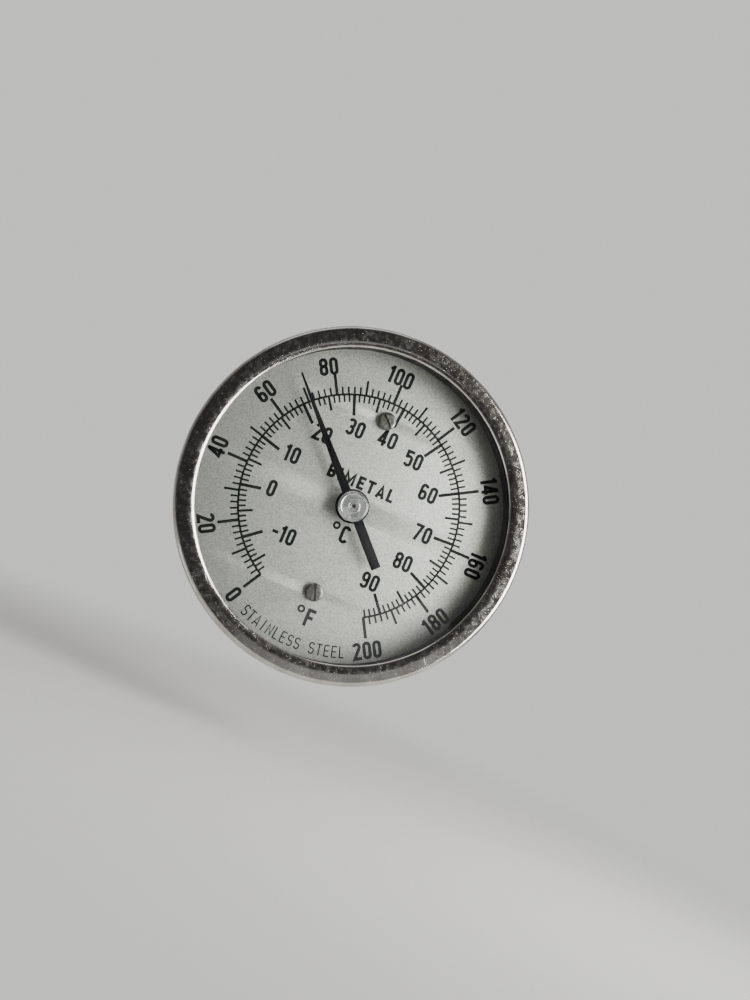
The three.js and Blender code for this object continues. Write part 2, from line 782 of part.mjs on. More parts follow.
add(thermometer, 'dial_plate', dialPlate(), satinSilver());
add(thermometer, 'dial_carrier', dialCarrier(), brass());
[['upper', 1, 45], ['lower', -1, 24]].forEach(([place, side, slotTurn]) => {
  const spot = new THREE.Group();
  spot.position.z = side * dialScrewCircle;
  thermometer.add(spot);
  add(spot, `dial_post_${place}`, dialPost(), brass());
  add(spot, `dial_screw_${place}`, dialScrew(), platedScrew()).rotation.y = radians(-slotTurn);
});

const resetSide = new THREE.Group();
const resetSpot = onDial(radians(resetAngle), resetOffset);
resetSide.position.set(resetSpot.x, 0, resetSpot.y);
thermometer.add(resetSide);
add(resetSide, 'reset_screw', resetScrew(), platedScrew());
add(resetSide, 'reset_pinion', resetPinion(), brass());
add(resetSide, 'reset_retaining_clip', resetRetainingClip(), springSteel());
add(resetSide, 'reset_oring', resetOring(), blackRubber());

export default thermometer;
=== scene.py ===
import math

import bmesh
import bpy
import numpy as np
from mathutils import Matrix, Vector


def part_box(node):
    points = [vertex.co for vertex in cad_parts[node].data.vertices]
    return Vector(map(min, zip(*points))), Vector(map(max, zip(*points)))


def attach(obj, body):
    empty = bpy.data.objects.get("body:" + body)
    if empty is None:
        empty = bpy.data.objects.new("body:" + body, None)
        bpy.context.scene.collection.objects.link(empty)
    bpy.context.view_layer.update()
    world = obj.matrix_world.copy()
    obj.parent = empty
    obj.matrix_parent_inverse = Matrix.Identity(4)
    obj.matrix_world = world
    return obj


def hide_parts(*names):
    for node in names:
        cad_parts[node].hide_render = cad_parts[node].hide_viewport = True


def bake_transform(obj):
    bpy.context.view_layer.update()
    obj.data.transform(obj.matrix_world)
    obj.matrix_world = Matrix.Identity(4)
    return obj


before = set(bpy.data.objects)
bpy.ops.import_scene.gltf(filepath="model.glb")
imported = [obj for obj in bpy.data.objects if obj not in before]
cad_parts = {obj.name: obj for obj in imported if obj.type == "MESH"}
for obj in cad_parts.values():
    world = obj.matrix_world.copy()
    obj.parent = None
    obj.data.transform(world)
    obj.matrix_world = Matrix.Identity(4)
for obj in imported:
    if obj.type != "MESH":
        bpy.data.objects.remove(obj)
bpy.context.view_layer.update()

# Back-connected bimetal dial thermometer. The stem's axis is Y and the dial faces -Y, with 12 o'clock towards
# +Z. A dial angle runs clockwise from 12 o'clock as the reader sees it. Profiles are [radius, y] in metres.

MM = 0.001


def front(node):
    """The place along Y of a CAD node's side towards the reader."""
    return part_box(node)[0].y


def back(node):
    """The place along Y of a CAD node's side away from the reader."""
    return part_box(node)[1].y


def reach(node):
    """The radius of a CAD node that is turned about the stem's axis."""
    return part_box(node)[1].x


# ---------------------------------------------------------------- camera

DIAL_FACE = front("dial_plate")
CAMERA_LENS = 45.0
CAMERA_DISTANCE = 302 * MM
CAMERA_LEAN = math.radians(8.9)
CAMERA_LEAN_TOWARDS = math.radians(245)
CAMERA_ROLL = math.radians(23.3)
CAMERA_SHIFT = (0.0253, 0.0064)

dial_centre = Vector((0, DIAL_FACE, 0))
to_camera = Vector((
    math.sin(CAMERA_LEAN) * math.sin(CAMERA_LEAN_TOWARDS),
    -math.cos(CAMERA_LEAN),
    math.sin(CAMERA_LEAN) * math.cos(CAMERA_LEAN_TOWARDS),
))
camera_right = Vector((-math.sin(CAMERA_ROLL), 0, math.cos(CAMERA_ROLL))).cross(to_camera).normalized()
camera_up = to_camera.cross(camera_right)


def facing(place, towards, right, up):
    """The matrix of a camera or lamp at a place, whose own +Z points towards a direction."""
    turn = Matrix((right, up, towards)).transposed().to_4x4()
    return Matrix.Translation(place) @ turn


def make_camera():
    """A lens a little longer than normal, close to the dial and leaning to the reader's left."""
    camera = bpy.data.objects.new("camera", bpy.data.cameras.new("camera"))
    bpy.context.scene.collection.objects.link(camera)
    place = dial_centre + CAMERA_DISTANCE * to_camera
    camera.matrix_world = facing(place, to_camera, camera_right, camera_up)
    camera.data.lens = CAMERA_LENS
    camera.data.sensor_width = 36.0
    camera.data.shift_x, camera.data.shift_y = CAMERA_SHIFT
    camera.data.clip_start = 0.01
    camera.data.clip_end = 20.0
    bpy.context.scene.camera = camera


make_camera()

# ---------------------------------------------------------------- shapes

MERGE = 1e-7
SUPPORT = 0.04 * MM
SMOOTH_BELOW = math.radians(32)


def linked(name, mesh):
    """A new piece in the scene with that mesh."""
    piece = bpy.data.objects.new(name, mesh)
    bpy.context.scene.collection.objects.link(piece)
    return piece


def tidied(mesh):
    """Merge the doubles, turn every face outwards and shade smooth below the sharp-edge angle."""
    work = bmesh.new()
    work.from_mesh(mesh)
    bmesh.ops.remove_doubles(work, verts=work.verts, dist=MERGE)
    bmesh.ops.dissolve_degenerate(work, edges=work.edges, dist=MERGE)
    bmesh.ops.recalc_face_normals(work, faces=work.faces)
    work.to_mesh(mesh)
    work.free()
    mesh.shade_smooth()
    mesh.set_sharp_from_angle(angle=SMOOTH_BELOW)
    return mesh


def skin(name, grid, closed_rows=False, capped=False):
    """A surface through a grid of points [row, column, xyz]. Quads join each point to the next in its row and
    column; closed rows join the last row to the first, and caps close the first and last row."""
    rows, columns = grid.shape[:2]
    first = np.arange(rows if closed_rows else rows - 1)[:, None]
    across = np.arange(columns - 1)[None, :]
    near, far = first * columns, (first + 1) % rows * columns
    quads = np.stack([near + across, near + across + 1, far + across + 1, far + across], -1).reshape(-1, 4)
    faces = quads.tolist()
    if capped:
        faces.append(list(range(columns - 1)))
        faces.append([(rows - 1) * columns + i for i in range(columns - 1)])
    mesh = bpy.data.meshes.new(name)
    mesh.from_pydata(grid.reshape(-1, 3).tolist(), [], faces)
    return linked(name, tidied(mesh))


def rounded(corners, fillets, steps=5):
    """A closed profile of corners [corner, column, (radius, y)] with each corner made an arc of its fillet,
    tangent to both sides: the arc's centre lies on the corner's bisector, and a support point just outside
    each end keeps the flat beside it flat."""
    corners = np.asarray(corners, float)
    if corners.ndim == 2:
        corners = corners[:, None, :]
    before, after = np.roll(corners, 1, 0), np.roll(corners, -1, 0)
    rows = []
    for here, last, following, fillet in zip(corners, before, after, fillets):
        if not fillet:
            rows.append(here)
            continue
        to_last, to_next = last - here, following - here
        last_length = np.linalg.norm(to_last, axis=-1, keepdims=True)
        next_length = np.linalg.norm(to_next, axis=-1, keepdims=True)
        to_last, to_next = to_last / last_length, to_next / next_length
        half = 0.5 * np.arccos(np.clip((to_last * to_next).sum(-1, keepdims=True), -1, 1))
        tangent = fillet / np.tan(half)
        bisector = (to_last + to_next) / np.linalg.norm(to_last + to_next, axis=-1, keepdims=True)
        centre = here + bisector * fillet / np.sin(half)
        start = here + to_last * tangent - centre
        end = here + to_next * tangent - centre
        from_angle = np.arctan2(start[..., 1], start[..., 0])
        sweep = (np.arctan2(end[..., 1], end[..., 0]) - from_angle + np.pi) % (2 * np.pi) - np.pi
        share = np.linspace(0, 1, steps + 1)[:, None]
        angle = from_angle + sweep * share
        arc = centre + fillet * np.stack([np.cos(angle), np.sin(angle)], -1)
        rows.append(here + to_last * np.minimum(tangent + SUPPORT, 0.95 * last_length))
        rows.extend(arc)
        rows.append(here + to_next * np.minimum(tangent + SUPPORT, 0.95 * next_length))
    return np.stack(rows)


def round_the_stem(profile, steps, centre=(0.0, 0.0)):
    """Carry a profile [row, column, (radius, y)] round an axis parallel to Y: x = radius times the sine and
    z = radius times the cosine of the dial angle, which runs once round with its last column on its first."""
    angle = np.linspace(0, 2 * np.pi, steps + 1)
    radius, y = np.broadcast_arrays(profile[..., 0], profile[..., 1])
    radius = np.broadcast_to(radius, (len(profile), steps + 1))
    y = np.broadcast_to(y, radius.shape)
    return np.stack([radius * np.sin(angle) + centre[0], y, radius * np.cos(angle) + centre[1]], -1)


def turned(name, corners, fillets, steps=128, centre=(0.0, 0.0)):
    """A piece turned on a lathe from a closed profile of corners with fillets."""
    profile = rounded(corners, fillets)
    return skin(name, round_the_stem(profile, steps, centre), closed_rows=True)


def box_profile(inner, outer, near, far):
    """The four corners of a tube's section, or of a rod's where the inner radius is nothing."""
    return [(inner, near), (outer, near), (outer, far), (inner, far)]


def on_dial(angle, radius):
    """The x and z of points at dial angles and radii."""
    return np.stack([radius * np.sin(angle), radius * np.cos(angle)], -1)


def ring_outline(radius, steps=96, centre=(0.0, 0.0)):
    """A round outline in x and z."""
    return on_dial(np.arange(steps) * 2 * np.pi / steps, radius) + np.asarray(centre)


def plate(name, outline, near, far, edge, holes=()):
    """A flat piece cut to an outline in x and z, from the plane y = near to y = far, with eased edges."""
    curve = bpy.data.curves.new(name, "CURVE")
    curve.dimensions = "2D"
    curve.fill_mode = "BOTH"
    curve.bevel_depth = edge
    curve.bevel_resolution = 2
    curve.offset = -edge
    curve.extrude = (far - near) / 2 - edge
    for loop in (outline, *holes):
        spline = curve.splines.new("POLY")
        spline.points.add(len(loop) - 1)
        flat = np.zeros((len(loop), 4))
        flat[:, :2] = loop
        flat[:, 3] = 1
        spline.points.foreach_set("co", flat.ravel())
        spline.use_cyclic_u = True
    drawn = linked(name + "_outline", curve)
    mesh = bpy.data.meshes.new_from_object(drawn.evaluated_get(bpy.context.evaluated_depsgraph_get()))
    bpy.data.objects.remove(drawn)
    mesh.transform(Matrix.Translation((0, (near + far) / 2, 0)) @ Matrix.Rotation(math.pi / 2, 4, "X"))
    mesh.name = name
    mesh.materials.clear()
    return linked(name, tidied(mesh))


def cut(piece, tool):
    """Cut the tool's solid out of the piece."""
    change = piece.modifiers.new("cut", "BOOLEAN")
    change.operation = "DIFFERENCE"
    change.solver = "EXACT"
    change.object = tool
    made = bpy.data.meshes.new_from_object(piece.evaluated_get(bpy.context.evaluated_depsgraph_get()))
    piece.modifiers.clear()
    piece.data = tidied(made)
    bpy.data.objects.remove(tool)
    return piece


def slot_tool(centre, half_width, half_length, near, far, turn):
    """The block that a slotting saw takes away: a plate turned about an axis parallel to Y."""
    corner = np.array([(-1, -1), (1, -1), (1, 1), (-1, 1)]) * (half_width, half_length)
    spin = np.array([(np.cos(turn), -np.sin(turn)), (np.sin(turn), np.cos(turn))])
    loop = corner @ spin + np.asarray(centre)
    grid = np.stack([np.insert(loop, 1, y, axis=1) for y in (near, far)])
    return skin("saw", np.concatenate([grid, grid[:, :1]], axis=1), capped=True)


def eased(piece, width):
    """Ease the sharp edges with a small live bevel."""
    bevel = piece.modifiers.new("eased_edges", "BEVEL")
    bevel.width = width
    bevel.segments = 2
    bevel.limit_method = "ANGLE"
    bevel.angle_limit = math.radians(40)
    bevel.use_clamp_overlap = True
    return piece


# ---------------------------------------------------------------- shader effects


def add_node(tree, kind, inputs=None, **settings):
    """Add a shader node, make its settings, and feed its inputs by links or plain values."""
    node = tree.nodes.new(kind)
    for key, value in settings.items():
        setattr(node, key, value)
    for key, value in (inputs or {}).items():
        if isinstance(value, bpy.types.NodeSocket):
            tree.links.new(value, node.inputs[key])
        else:
            node.inputs[key].default_value = value
    return node


def sum_of(tree, operation, first, second=0.0, third=0.0, clamp=False):
    """One step of arithmetic on values."""
    node = add_node(tree, "ShaderNodeMath", {0: first, 1: second}, operation=operation, use_clamp=clamp)
    if operation in ("MULTIPLY_ADD", "COMPARE"):
        node.inputs[2].default_value = third
    return node.outputs[0]


def between(tree, value, low, high, to_low=0.0, to_high=1.0):
    """A value carried smoothly from one range to another and held at its ends."""
    node = add_node(tree, "ShaderNodeMapRange", {
        "Value": value, "From Min": low, "From Max": high, "To Min": to_low, "To Max": to_high,
    }, interpolation_type="SMOOTHSTEP")
    return node.outputs["Result"]


def colour_between(tree, share, first, second):
    """A colour mixed by a share from 0 to 1."""
    node = tree.nodes.new("ShaderNodeMix")
    node.data_type = "RGBA"
    for socket, value in ((node.inputs[0], share), (node.inputs[6], first), (node.inputs[7], second)):
        if isinstance(value, bpy.types.NodeSocket):
            tree.links.new(value, socket)
        elif socket.type == "RGBA":
            socket.default_value = (*value, 1.0)
        else:
            socket.default_value = value
    return node.outputs[2]


def effect_group(name, inputs, outputs):
    """A new node group with its sockets; it gives back the tree, its inputs and its output node."""
    tree = bpy.data.node_groups.new(name, "ShaderNodeTree")
    for key, value in inputs.items():
        kind = "NodeSocketVector" if isinstance(value, tuple) else "NodeSocketFloat"
        tree.interface.new_socket(key, in_out="INPUT", socket_type=kind).default_value = value
    for key in outputs:
        tree.interface.new_socket(key, in_out="OUTPUT", socket_type="NodeSocketFloat")
    return tree, tree.nodes.new("NodeGroupInput").outputs, tree.nodes.new("NodeGroupOutput").inputs


def object_place(tree):
    """Where a point lies in the piece's own coordinates."""
    return tree.nodes.new("ShaderNodeTexCoord").outputs["Object"]


def scratches_group():
    """Fine straight scratches: noise drawn out twenty times along one direction, thresholded to its crests,
    once in each of two directions."""
    tree, given, out = effect_group("fine_scratches", {"Density": 1.0, "Scale": 900.0}, ["Marks"])
    found = []
    for turn, offset in ((0.62, 0.013), (-1.05, 0.041)):
        placed = add_node(tree, "ShaderNodeMapping", {
            "Vector": object_place(tree), "Rotation": (0, turn, 0), "Location": (offset, 0, offset),
        })
        drawn = add_node(tree, "ShaderNodeMapping", {
            "Vector": placed.outputs[0], "Scale": (1.0, 1.0, 0.05),
        })
        noise = add_node(tree, "ShaderNodeTexNoise", {
            "Vector": drawn.outputs[0], "Scale": given["Scale"], "Detail": 2.0, "Roughness": 0.6,
        })
        found.append(between(tree, noise.outputs[0], 0.66, 0.74))
    either = sum_of(tree, "MAXIMUM", found[0], found[1])
    tree.links.new(sum_of(tree, "MULTIPLY", either, given["Density"], clamp=True), out["Marks"])
    return tree


def specks_group():
    """Small round specks: the nearest point of a cell pattern, kept where it is close and where the cell's
    own random value is high."""
    tree, given, out = effect_group("specks", {"Scale": 1500.0, "Size": 0.3, "Share": 0.3}, ["Marks"])
    cells = add_node(tree, "ShaderNodeTexVoronoi", {"Vector": object_place(tree), "Scale": given["Scale"]})
    near = sum_of(tree, "SUBTRACT", given["Size"], cells.outputs["Distance"])
    dot = between(tree, near, 0.0, 0.12)
    chance = add_node(tree, "ShaderNodeSeparateColor", {"Color": cells.outputs["Color"]}).outputs[0]
    chosen = sum_of(tree, "LESS_THAN", chance, given["Share"])
    tree.links.new(sum_of(tree, "MULTIPLY", dot, chosen), out["Marks"])
    return tree


def grain_group():
    """An even grain with a coarser cloud in it, each from noise about one half."""
    tree, given, out = effect_group("grain", {"Scale": 4000.0, "Cloud Scale": 60.0}, ["Grain", "Cloud"])
    place = object_place(tree)
    for key, scale, detail in (("Grain", given["Scale"], 2.0), ("Cloud", given["Cloud Scale"], 4.0)):
        noise = add_node(tree, "ShaderNodeTexNoise", {"Vector": place, "Scale": scale, "Detail": detail})
        tree.links.new(noise.outputs[0], out[key])
    return tree


def turning_group():
    """The rings a lathe leaves: noise read along the distance from an axis parallel to Y."""
    tree, given, out = effect_group("turning_marks", {"Centre": (0.0, 0.0, 0.0), "Scale": 5000.0}, ["Rings"])
    moved = add_node(tree, "ShaderNodeVectorMath", {
        0: object_place(tree), 1: given["Centre"],
    }, operation="SUBTRACT")
    parts = add_node(tree, "ShaderNodeSeparateXYZ", {0: moved.outputs[0]})
    across = sum_of(tree, "MULTIPLY", parts.outputs["X"], parts.outputs["X"])
    upward = sum_of(tree, "MULTIPLY", parts.outputs["Z"], parts.outputs["Z"])
    distance = sum_of(tree, "SQRT", sum_of(tree, "ADD", across, upward))
    rings = add_node(tree, "ShaderNodeTexNoise", {
        "W": distance, "Scale": given["Scale"], "Detail": 3.0, "Roughness": 0.65,
    }, noise_dimensions="1D")
    tree.links.new(rings.outputs[0], out["Rings"])
    return tree


def drawn_group():
    """The lines a die leaves along the stem: noise drawn out along Y."""
    tree, given, out = effect_group("drawn_lines", {"Scale": 3000.0}, ["Lines"])
    place = add_node(tree, "ShaderNodeMapping", {"Vector": object_place(tree), "Scale": (1.0, 0.012, 1.0)})
    noise = add_node(tree, "ShaderNodeTexNoise", {
        "Vector": place.outputs[0], "Scale": given["Scale"], "Detail": 3.0, "Roughness": 0.6,
    })
    tree.links.new(noise.outputs[0], out["Lines"])
    return tree


SCRATCHES = scratches_group()
SPECKS = specks_group()
GRAIN = grain_group()
TURNING = turning_group()
DRAWN = drawn_group()


def placed(tree, group, **inputs):
    """A group's node in a material, with that material's own values."""
    node = tree.nodes.new("ShaderNodeGroup")
    node.node_tree = group
    for key, value in inputs.items():
        node.inputs[key.replace("_", " ")].default_value = value
    return node.outputs


def bumped(tree, height, distance, strength=1.0, below=None):
    """A normal pushed by a height of up to that distance."""
    inputs = {"Height": height, "Distance": distance, "Strength": strength}
    if below is not None:
        inputs["Normal"] = below
    return add_node(tree, "ShaderNodeBump", inputs).outputs[0]


def new_finish(name, **values):
    """A material with a Principled shader and its constant values."""
    material = bpy.data.materials.new(name)
    material.use_nodes = True
    shader = material.node_tree.nodes["Principled BSDF"]
    for key, value in values.items():
        shader.inputs[key.replace("_", " ")].default_value = value
    return material, material.node_tree, shader


# ---------------------------------------------------------------- finishes


def metal(name, dark, light, roughness, rougher, marks, push, scratch=0.5, speck_share=0.12, cloud_scale=70.0,
          mottle=0.55):
    """A worked metal. The tone goes from dark to light with the marks and, by the share of mottle, a cloud.
    The roughness rises with the cloud and at scratches. The marks, the specks and the scratches push the
    normal."""
    material, tree, shader = new_finish(name, Metallic=1.0)
    link = tree.links.new
    grain = placed(tree, GRAIN, Scale=5200.0, Cloud_Scale=cloud_scale)
    worked = marks(tree)
    tone = sum_of(tree, "MULTIPLY", worked, 1 - mottle)
    tone = sum_of(tree, "ADD", tone, sum_of(tree, "MULTIPLY", grain["Cloud"], mottle), clamp=True)
    link(colour_between(tree, between(tree, tone, 0.3, 0.7), dark, light), shader.inputs["Base Color"])
    scratched = placed(tree, SCRATCHES, Density=scratch, Scale=3000.0)["Marks"]
    specked = placed(tree, SPECKS, Scale=1700.0, Size=0.28, Share=speck_share)["Marks"]
    cloudy = between(tree, grain["Cloud"], 0.35, 0.7, roughness, rougher)
    worn = sum_of(tree, "MULTIPLY", sum_of(tree, "MAXIMUM", scratched, specked), 0.16)
    link(sum_of(tree, "ADD", cloudy, worn, clamp=True), shader.inputs["Roughness"])
    normal = bumped(tree, worked, push)
    normal = bumped(tree, sum_of(tree, "MAXIMUM", scratched, specked), -0.006 * MM, below=normal)
    link(normal, shader.inputs["Normal"])
    return material


def rings(scale=5000.0, centre=(0.0, 0.0, 0.0)):
    """Marks for metal(): lathe rings about an axis parallel to Y."""
    return lambda tree: placed(tree, TURNING, Centre=centre, Scale=scale)["Rings"]


def lines(scale=3000.0):
    """Marks for metal(): lines drawn along the stem."""
    return lambda tree: placed(tree, DRAWN, Scale=scale)["Lines"]


def grains(scale=4000.0):
    """Marks for metal(): an even grain."""
    return lambda tree: placed(tree, GRAIN, Scale=scale, Cloud_Scale=90.0)["Grain"]


def bezel_finish():
    """Polished steel that has been handled: a clear mirror under a haze of tiny pits, bright specks and a few
    short scratches, with a slow waviness that breaks up what it mirrors."""
    material, tree, shader = new_finish("polished_steel", Metallic=1.0)
    link = tree.links.new
    grain = placed(tree, GRAIN, Scale=2600.0, Cloud_Scale=170.0)
    fine = placed(tree, GRAIN, Scale=9000.0, Cloud_Scale=900.0)
    pits = placed(tree, SPECKS, Scale=2900.0, Size=0.3, Share=0.25)["Marks"]
    dents = placed(tree, SPECKS, Scale=1300.0, Size=0.2, Share=0.07)["Marks"]
    scratched = placed(tree, SCRATCHES, Density=0.8, Scale=3600.0)["Marks"]
    link(colour_between(tree, between(tree, grain["Cloud"], 0.35, 0.65), (0.46, 0.445, 0.415),
                        (0.60, 0.59, 0.56)), shader.inputs["Base Color"])
    marked = sum_of(tree, "MAXIMUM", sum_of(tree, "MAXIMUM", pits, dents), scratched)
    haze = between(tree, fine["Cloud"], 0.35, 0.68, 0.12, 0.22)
    marred = sum_of(tree, "MULTIPLY", marked, 0.12)
    link(sum_of(tree, "ADD", haze, marred, clamp=True), shader.inputs["Roughness"])
    normal = bumped(tree, grain["Grain"], 0.0025 * MM)
    normal = bumped(tree, fine["Grain"], 0.0012 * MM, below=normal)
    link(bumped(tree, marked, -0.006 * MM, below=normal), shader.inputs["Normal"])
    return material


def dial_finish():
    """Satin silver dial coat: a warm grey with fine flakes that catch the light one by one, a slow change of
    tone, and a few dust specks."""
    material, tree, shader = new_finish("satin_silver_dial", Metallic=0.55)
    link = tree.links.new
    grain = placed(tree, GRAIN, Scale=4400.0, Cloud_Scale=22.0)
    flakes = placed(tree, GRAIN, Scale=9000.0, Cloud_Scale=2600.0)
    dust = placed(tree, SPECKS, Scale=260.0, Size=0.07, Share=0.3)["Marks"]
    tone = sum_of(tree, "MULTIPLY_ADD", grain["Grain"], 0.5, 0.0)
    tone = sum_of(tree, "ADD", tone, sum_of(tree, "MULTIPLY", flakes["Cloud"], 0.5))
    silver = colour_between(tree, between(tree, tone, 0.36, 0.64), (0.33, 0.332, 0.305), (0.56, 0.56, 0.525))
    cloud = between(tree, grain["Cloud"], 0.3, 0.7)
    cloudy = colour_between(tree, cloud, (0.95, 0.95, 0.95), (1.0, 1.0, 1.0))
    shaded = add_node(tree, "ShaderNodeMix", data_type="RGBA", blend_type="MULTIPLY")
    shaded.inputs[0].default_value = 1.0
    link(silver, shaded.inputs[6])
    link(cloudy, shaded.inputs[7])
    link(colour_between(tree, dust, shaded.outputs[2], (0.12, 0.115, 0.10)), shader.inputs["Base Color"])
    link(between(tree, grain["Grain"], 0.3, 0.7, 0.38, 0.52), shader.inputs["Roughness"])
    normal = bumped(tree, grain["Grain"], 0.006 * MM)
    link(bumped(tree, flakes["Grain"], 0.004 * MM, below=normal), shader.inputs["Normal"])
    return material


def coat_finish(name, colour, worn_colour, roughness, scale, push, dust_share=0.12, gloss=0.5):
    """A dark coat, ink or rubber: a fine skin texture, duller in a slow cloud, with sparse pale dust."""
    material, tree, shader = new_finish(name, Metallic=0.0, Specular_IOR_Level=gloss)
    link = tree.links.new
    grain = placed(tree, GRAIN, Scale=scale, Cloud_Scale=130.0)
    dust = placed(tree, SPECKS, Scale=1100.0, Size=0.12, Share=dust_share)["Marks"]
    base = colour_between(tree, between(tree, grain["Cloud"], 0.35, 0.75), colour, worn_colour)
    link(colour_between(tree, sum_of(tree, "MULTIPLY", dust, 0.5), base, (0.22, 0.21, 0.19)),
         shader.inputs["Base Color"])
    link(between(tree, grain["Cloud"], 0.3, 0.7, roughness, roughness + 0.16), shader.inputs["Roughness"])
    link(bumped(tree, grain["Grain"], push), shader.inputs["Normal"])
    return material


def glass_finish():
    """Clear window glass that lets lamplight straight through, with the faint smears of a wiped pane."""
    material, tree, shader = new_finish(
        "window_glass", Base_Color=(0.97, 0.985, 0.98, 1.0), Metallic=0.0, IOR=1.5, Transmission_Weight=1.0)
    link = tree.links.new
    smear = placed(tree, GRAIN, Scale=240.0, Cloud_Scale=38.0)
    link(between(tree, smear["Cloud"], 0.5, 0.75, 0.0, 0.05), shader.inputs["Roughness"])
    clear = add_node(tree, "ShaderNodeBsdfTransparent", {"Color": (0.95, 0.965, 0.96, 1.0)})
    path = tree.nodes.new("ShaderNodeLightPath")
    lamplight = sum_of(tree, "MAXIMUM", path.outputs["Is Shadow Ray"], path.outputs["Is Diffuse Ray"])
    mixed = tree.nodes.new("ShaderNodeMixShader")
    link(lamplight, mixed.inputs[0])
    link(shader.outputs[0], mixed.inputs[1])
    link(clear.outputs[0], mixed.inputs[2])
    link(mixed.outputs[0], tree.nodes["Material Output"].inputs["Surface"])
    return material


RESET_LOW, RESET_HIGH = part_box("reset_screw")
RESET_CENTRE = ((RESET_LOW.x + RESET_HIGH.x) / 2, (RESET_LOW.z + RESET_HIGH.z) / 2)

BEZEL_STEEL = bezel_finish()
DIAL_SILVER = dial_finish()
WINDOW_GLASS = glass_finish()
CASE_STEEL = metal(
    "drawn_steel", (0.47, 0.47, 0.465), (0.60, 0.60, 0.59), 0.24, 0.36, rings(2600.0), 0.004 * MM,
)
FITTING_STEEL = metal(
    "machined_steel", (0.46, 0.46, 0.455), (0.60, 0.60, 0.59), 0.2, 0.32, rings(3800.0), 0.006 * MM,
)
STEM_STEEL = metal("stem_steel", (0.50, 0.50, 0.495), (0.62, 0.62, 0.61), 0.18, 0.3, lines(), 0.003 * MM)
SCREW_STEEL = metal(
    "plated_steel", (0.10, 0.10, 0.09), (0.22, 0.215, 0.195), 0.3, 0.42, grains(3400.0), 0.004 * MM,
    scratch=1.0, speck_share=0.2, cloud_scale=1400.0,
)
SHAFT_STEEL = metal(
    "ground_steel", (0.42, 0.42, 0.42), (0.56, 0.56, 0.56), 0.2, 0.3, rings(9000.0), 0.002 * MM,
)
SPRING_STEEL = metal(
    "spring_steel", (0.26, 0.27, 0.29), (0.42, 0.43, 0.45), 0.3, 0.42, grains(), 0.003 * MM,
)
GEAR_BRASS = metal(
    "cut_brass", (0.50, 0.35, 0.13), (0.72, 0.54, 0.24), 0.24, 0.38, rings(4200.0), 0.005 * MM,
)
BUSH_BRONZE = metal(
    "sintered_bronze", (0.36, 0.22, 0.11), (0.55, 0.36, 0.20), 0.34, 0.5, grains(3000.0), 0.01 * MM,
    speck_share=0.4,
)
STRIP_METAL = metal(
    "rolled_bimetal", (0.36, 0.33, 0.29), (0.50, 0.47, 0.42), 0.28, 0.4, lines(2200.0), 0.004 * MM,
)
HUB_ALUMINIUM = metal(
    "turned_aluminium", (0.50, 0.505, 0.50), (0.68, 0.685, 0.68), 0.22, 0.3, rings(2600.0), 0.022 * MM,
    scratch=0.0, speck_share=0.02, cloud_scale=300.0, mottle=0.12,
)
POINTER_PAINT = coat_finish(
    "satin_black_paint", (0.007, 0.007, 0.008), (0.014, 0.014, 0.014), 0.26, 3600.0, 0.002 * MM, 0.05,
    gloss=0.14,
)
PRINT_INK = coat_finish(
    "black_print", (0.006, 0.007, 0.006), (0.014, 0.015, 0.013), 0.45, 5200.0, 0.002 * MM, 0.08,
    gloss=0.12,
)
GASKET_RUBBER = coat_finish(
    "black_rubber", (0.008, 0.008, 0.008), (0.018, 0.018, 0.017), 0.5, 1500.0, 0.02 * MM, gloss=0.3,
)


def seated(piece, finish, body, slot, *nodes):
    """Give a finished piece its material and its body, and hide the CAD nodes that it stands for. The slot is
    not used.
    """
    piece.data.materials.clear()
    piece.data.materials.append(finish)
    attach(piece, body)
    if nodes:
        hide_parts(*nodes)
    return piece


# ---------------------------------------------------------------- case, bezel and window

SEAT_GAP = 0.1 * MM
CASE_WALL = 0.8 * MM
BEZEL_WALL = 0.9 * MM
BEZEL_LIP = 5.0 * MM
BEZEL_ROLL = 2.1 * MM
FLANGE_WIDTH = 1.5 * MM
SPIGOT_HOLE = 5.1 * MM
LIP_RADIUS = reach("bezel_ring") - BEZEL_LIP


def make_bezel():
    """The rim: a flat lip whose inner edge falls away in a quarter ellipse, a round shoulder, a straight side
    with a fine line above the roll, and the roll turned in behind the case flange."""
    outer, near, far = reach("bezel_ring"), front("bezel_ring"), back("bezel_ring")
    bore, roll = outer - BEZEL_WALL, outer - BEZEL_ROLL
    lip_back = front("lens") - SEAT_GAP
    ease_width, ease_depth = 2.3 * MM, 0.66 * MM
    line, line_width, line_depth = far - 2.0 * MM, 0.36 * MM, 0.16 * MM
    turn = np.linspace(0, np.pi / 2, 13)
    ease_out, ease_back = ease_width * (1 - np.cos(turn)), ease_depth * (1 - np.sin(turn))
    ease = np.stack([LIP_RADIUS + ease_out, near + ease_back], -1)
    corners = [
        (LIP_RADIUS, lip_back), *ease, (outer, near), (outer, line - line_width), (outer - line_depth, line),
        (outer, line + line_width), (outer, far), (roll, far),
        (roll, far - BEZEL_WALL), (bore, far - BEZEL_WALL), (bore, lip_back),
    ]
    fillets = [
        0.06 * MM, *[0] * len(ease), 1.1 * MM, 0.1 * MM, 0.08 * MM,
        0.1 * MM, 0.85 * MM, 0.25 * MM, 0.12 * MM, 0.2 * MM, 0.3 * MM,
    ]
    seated(turned("bezel_rim", corners, fillets, 256), BEZEL_STEEL, "case", "bezel_steel", "bezel_ring")


def make_window():
    """A flat glass disc with eased edges."""
    near, far = front("lens"), back("lens")
    corners = box_profile(0, reach("lens"), near, far)
    window = turned("window", corners, [0, 0.35 * MM, 0.35 * MM, 0], 192)
    seated(window, WINDOW_GLASS, "case", "lens_glass", "lens")


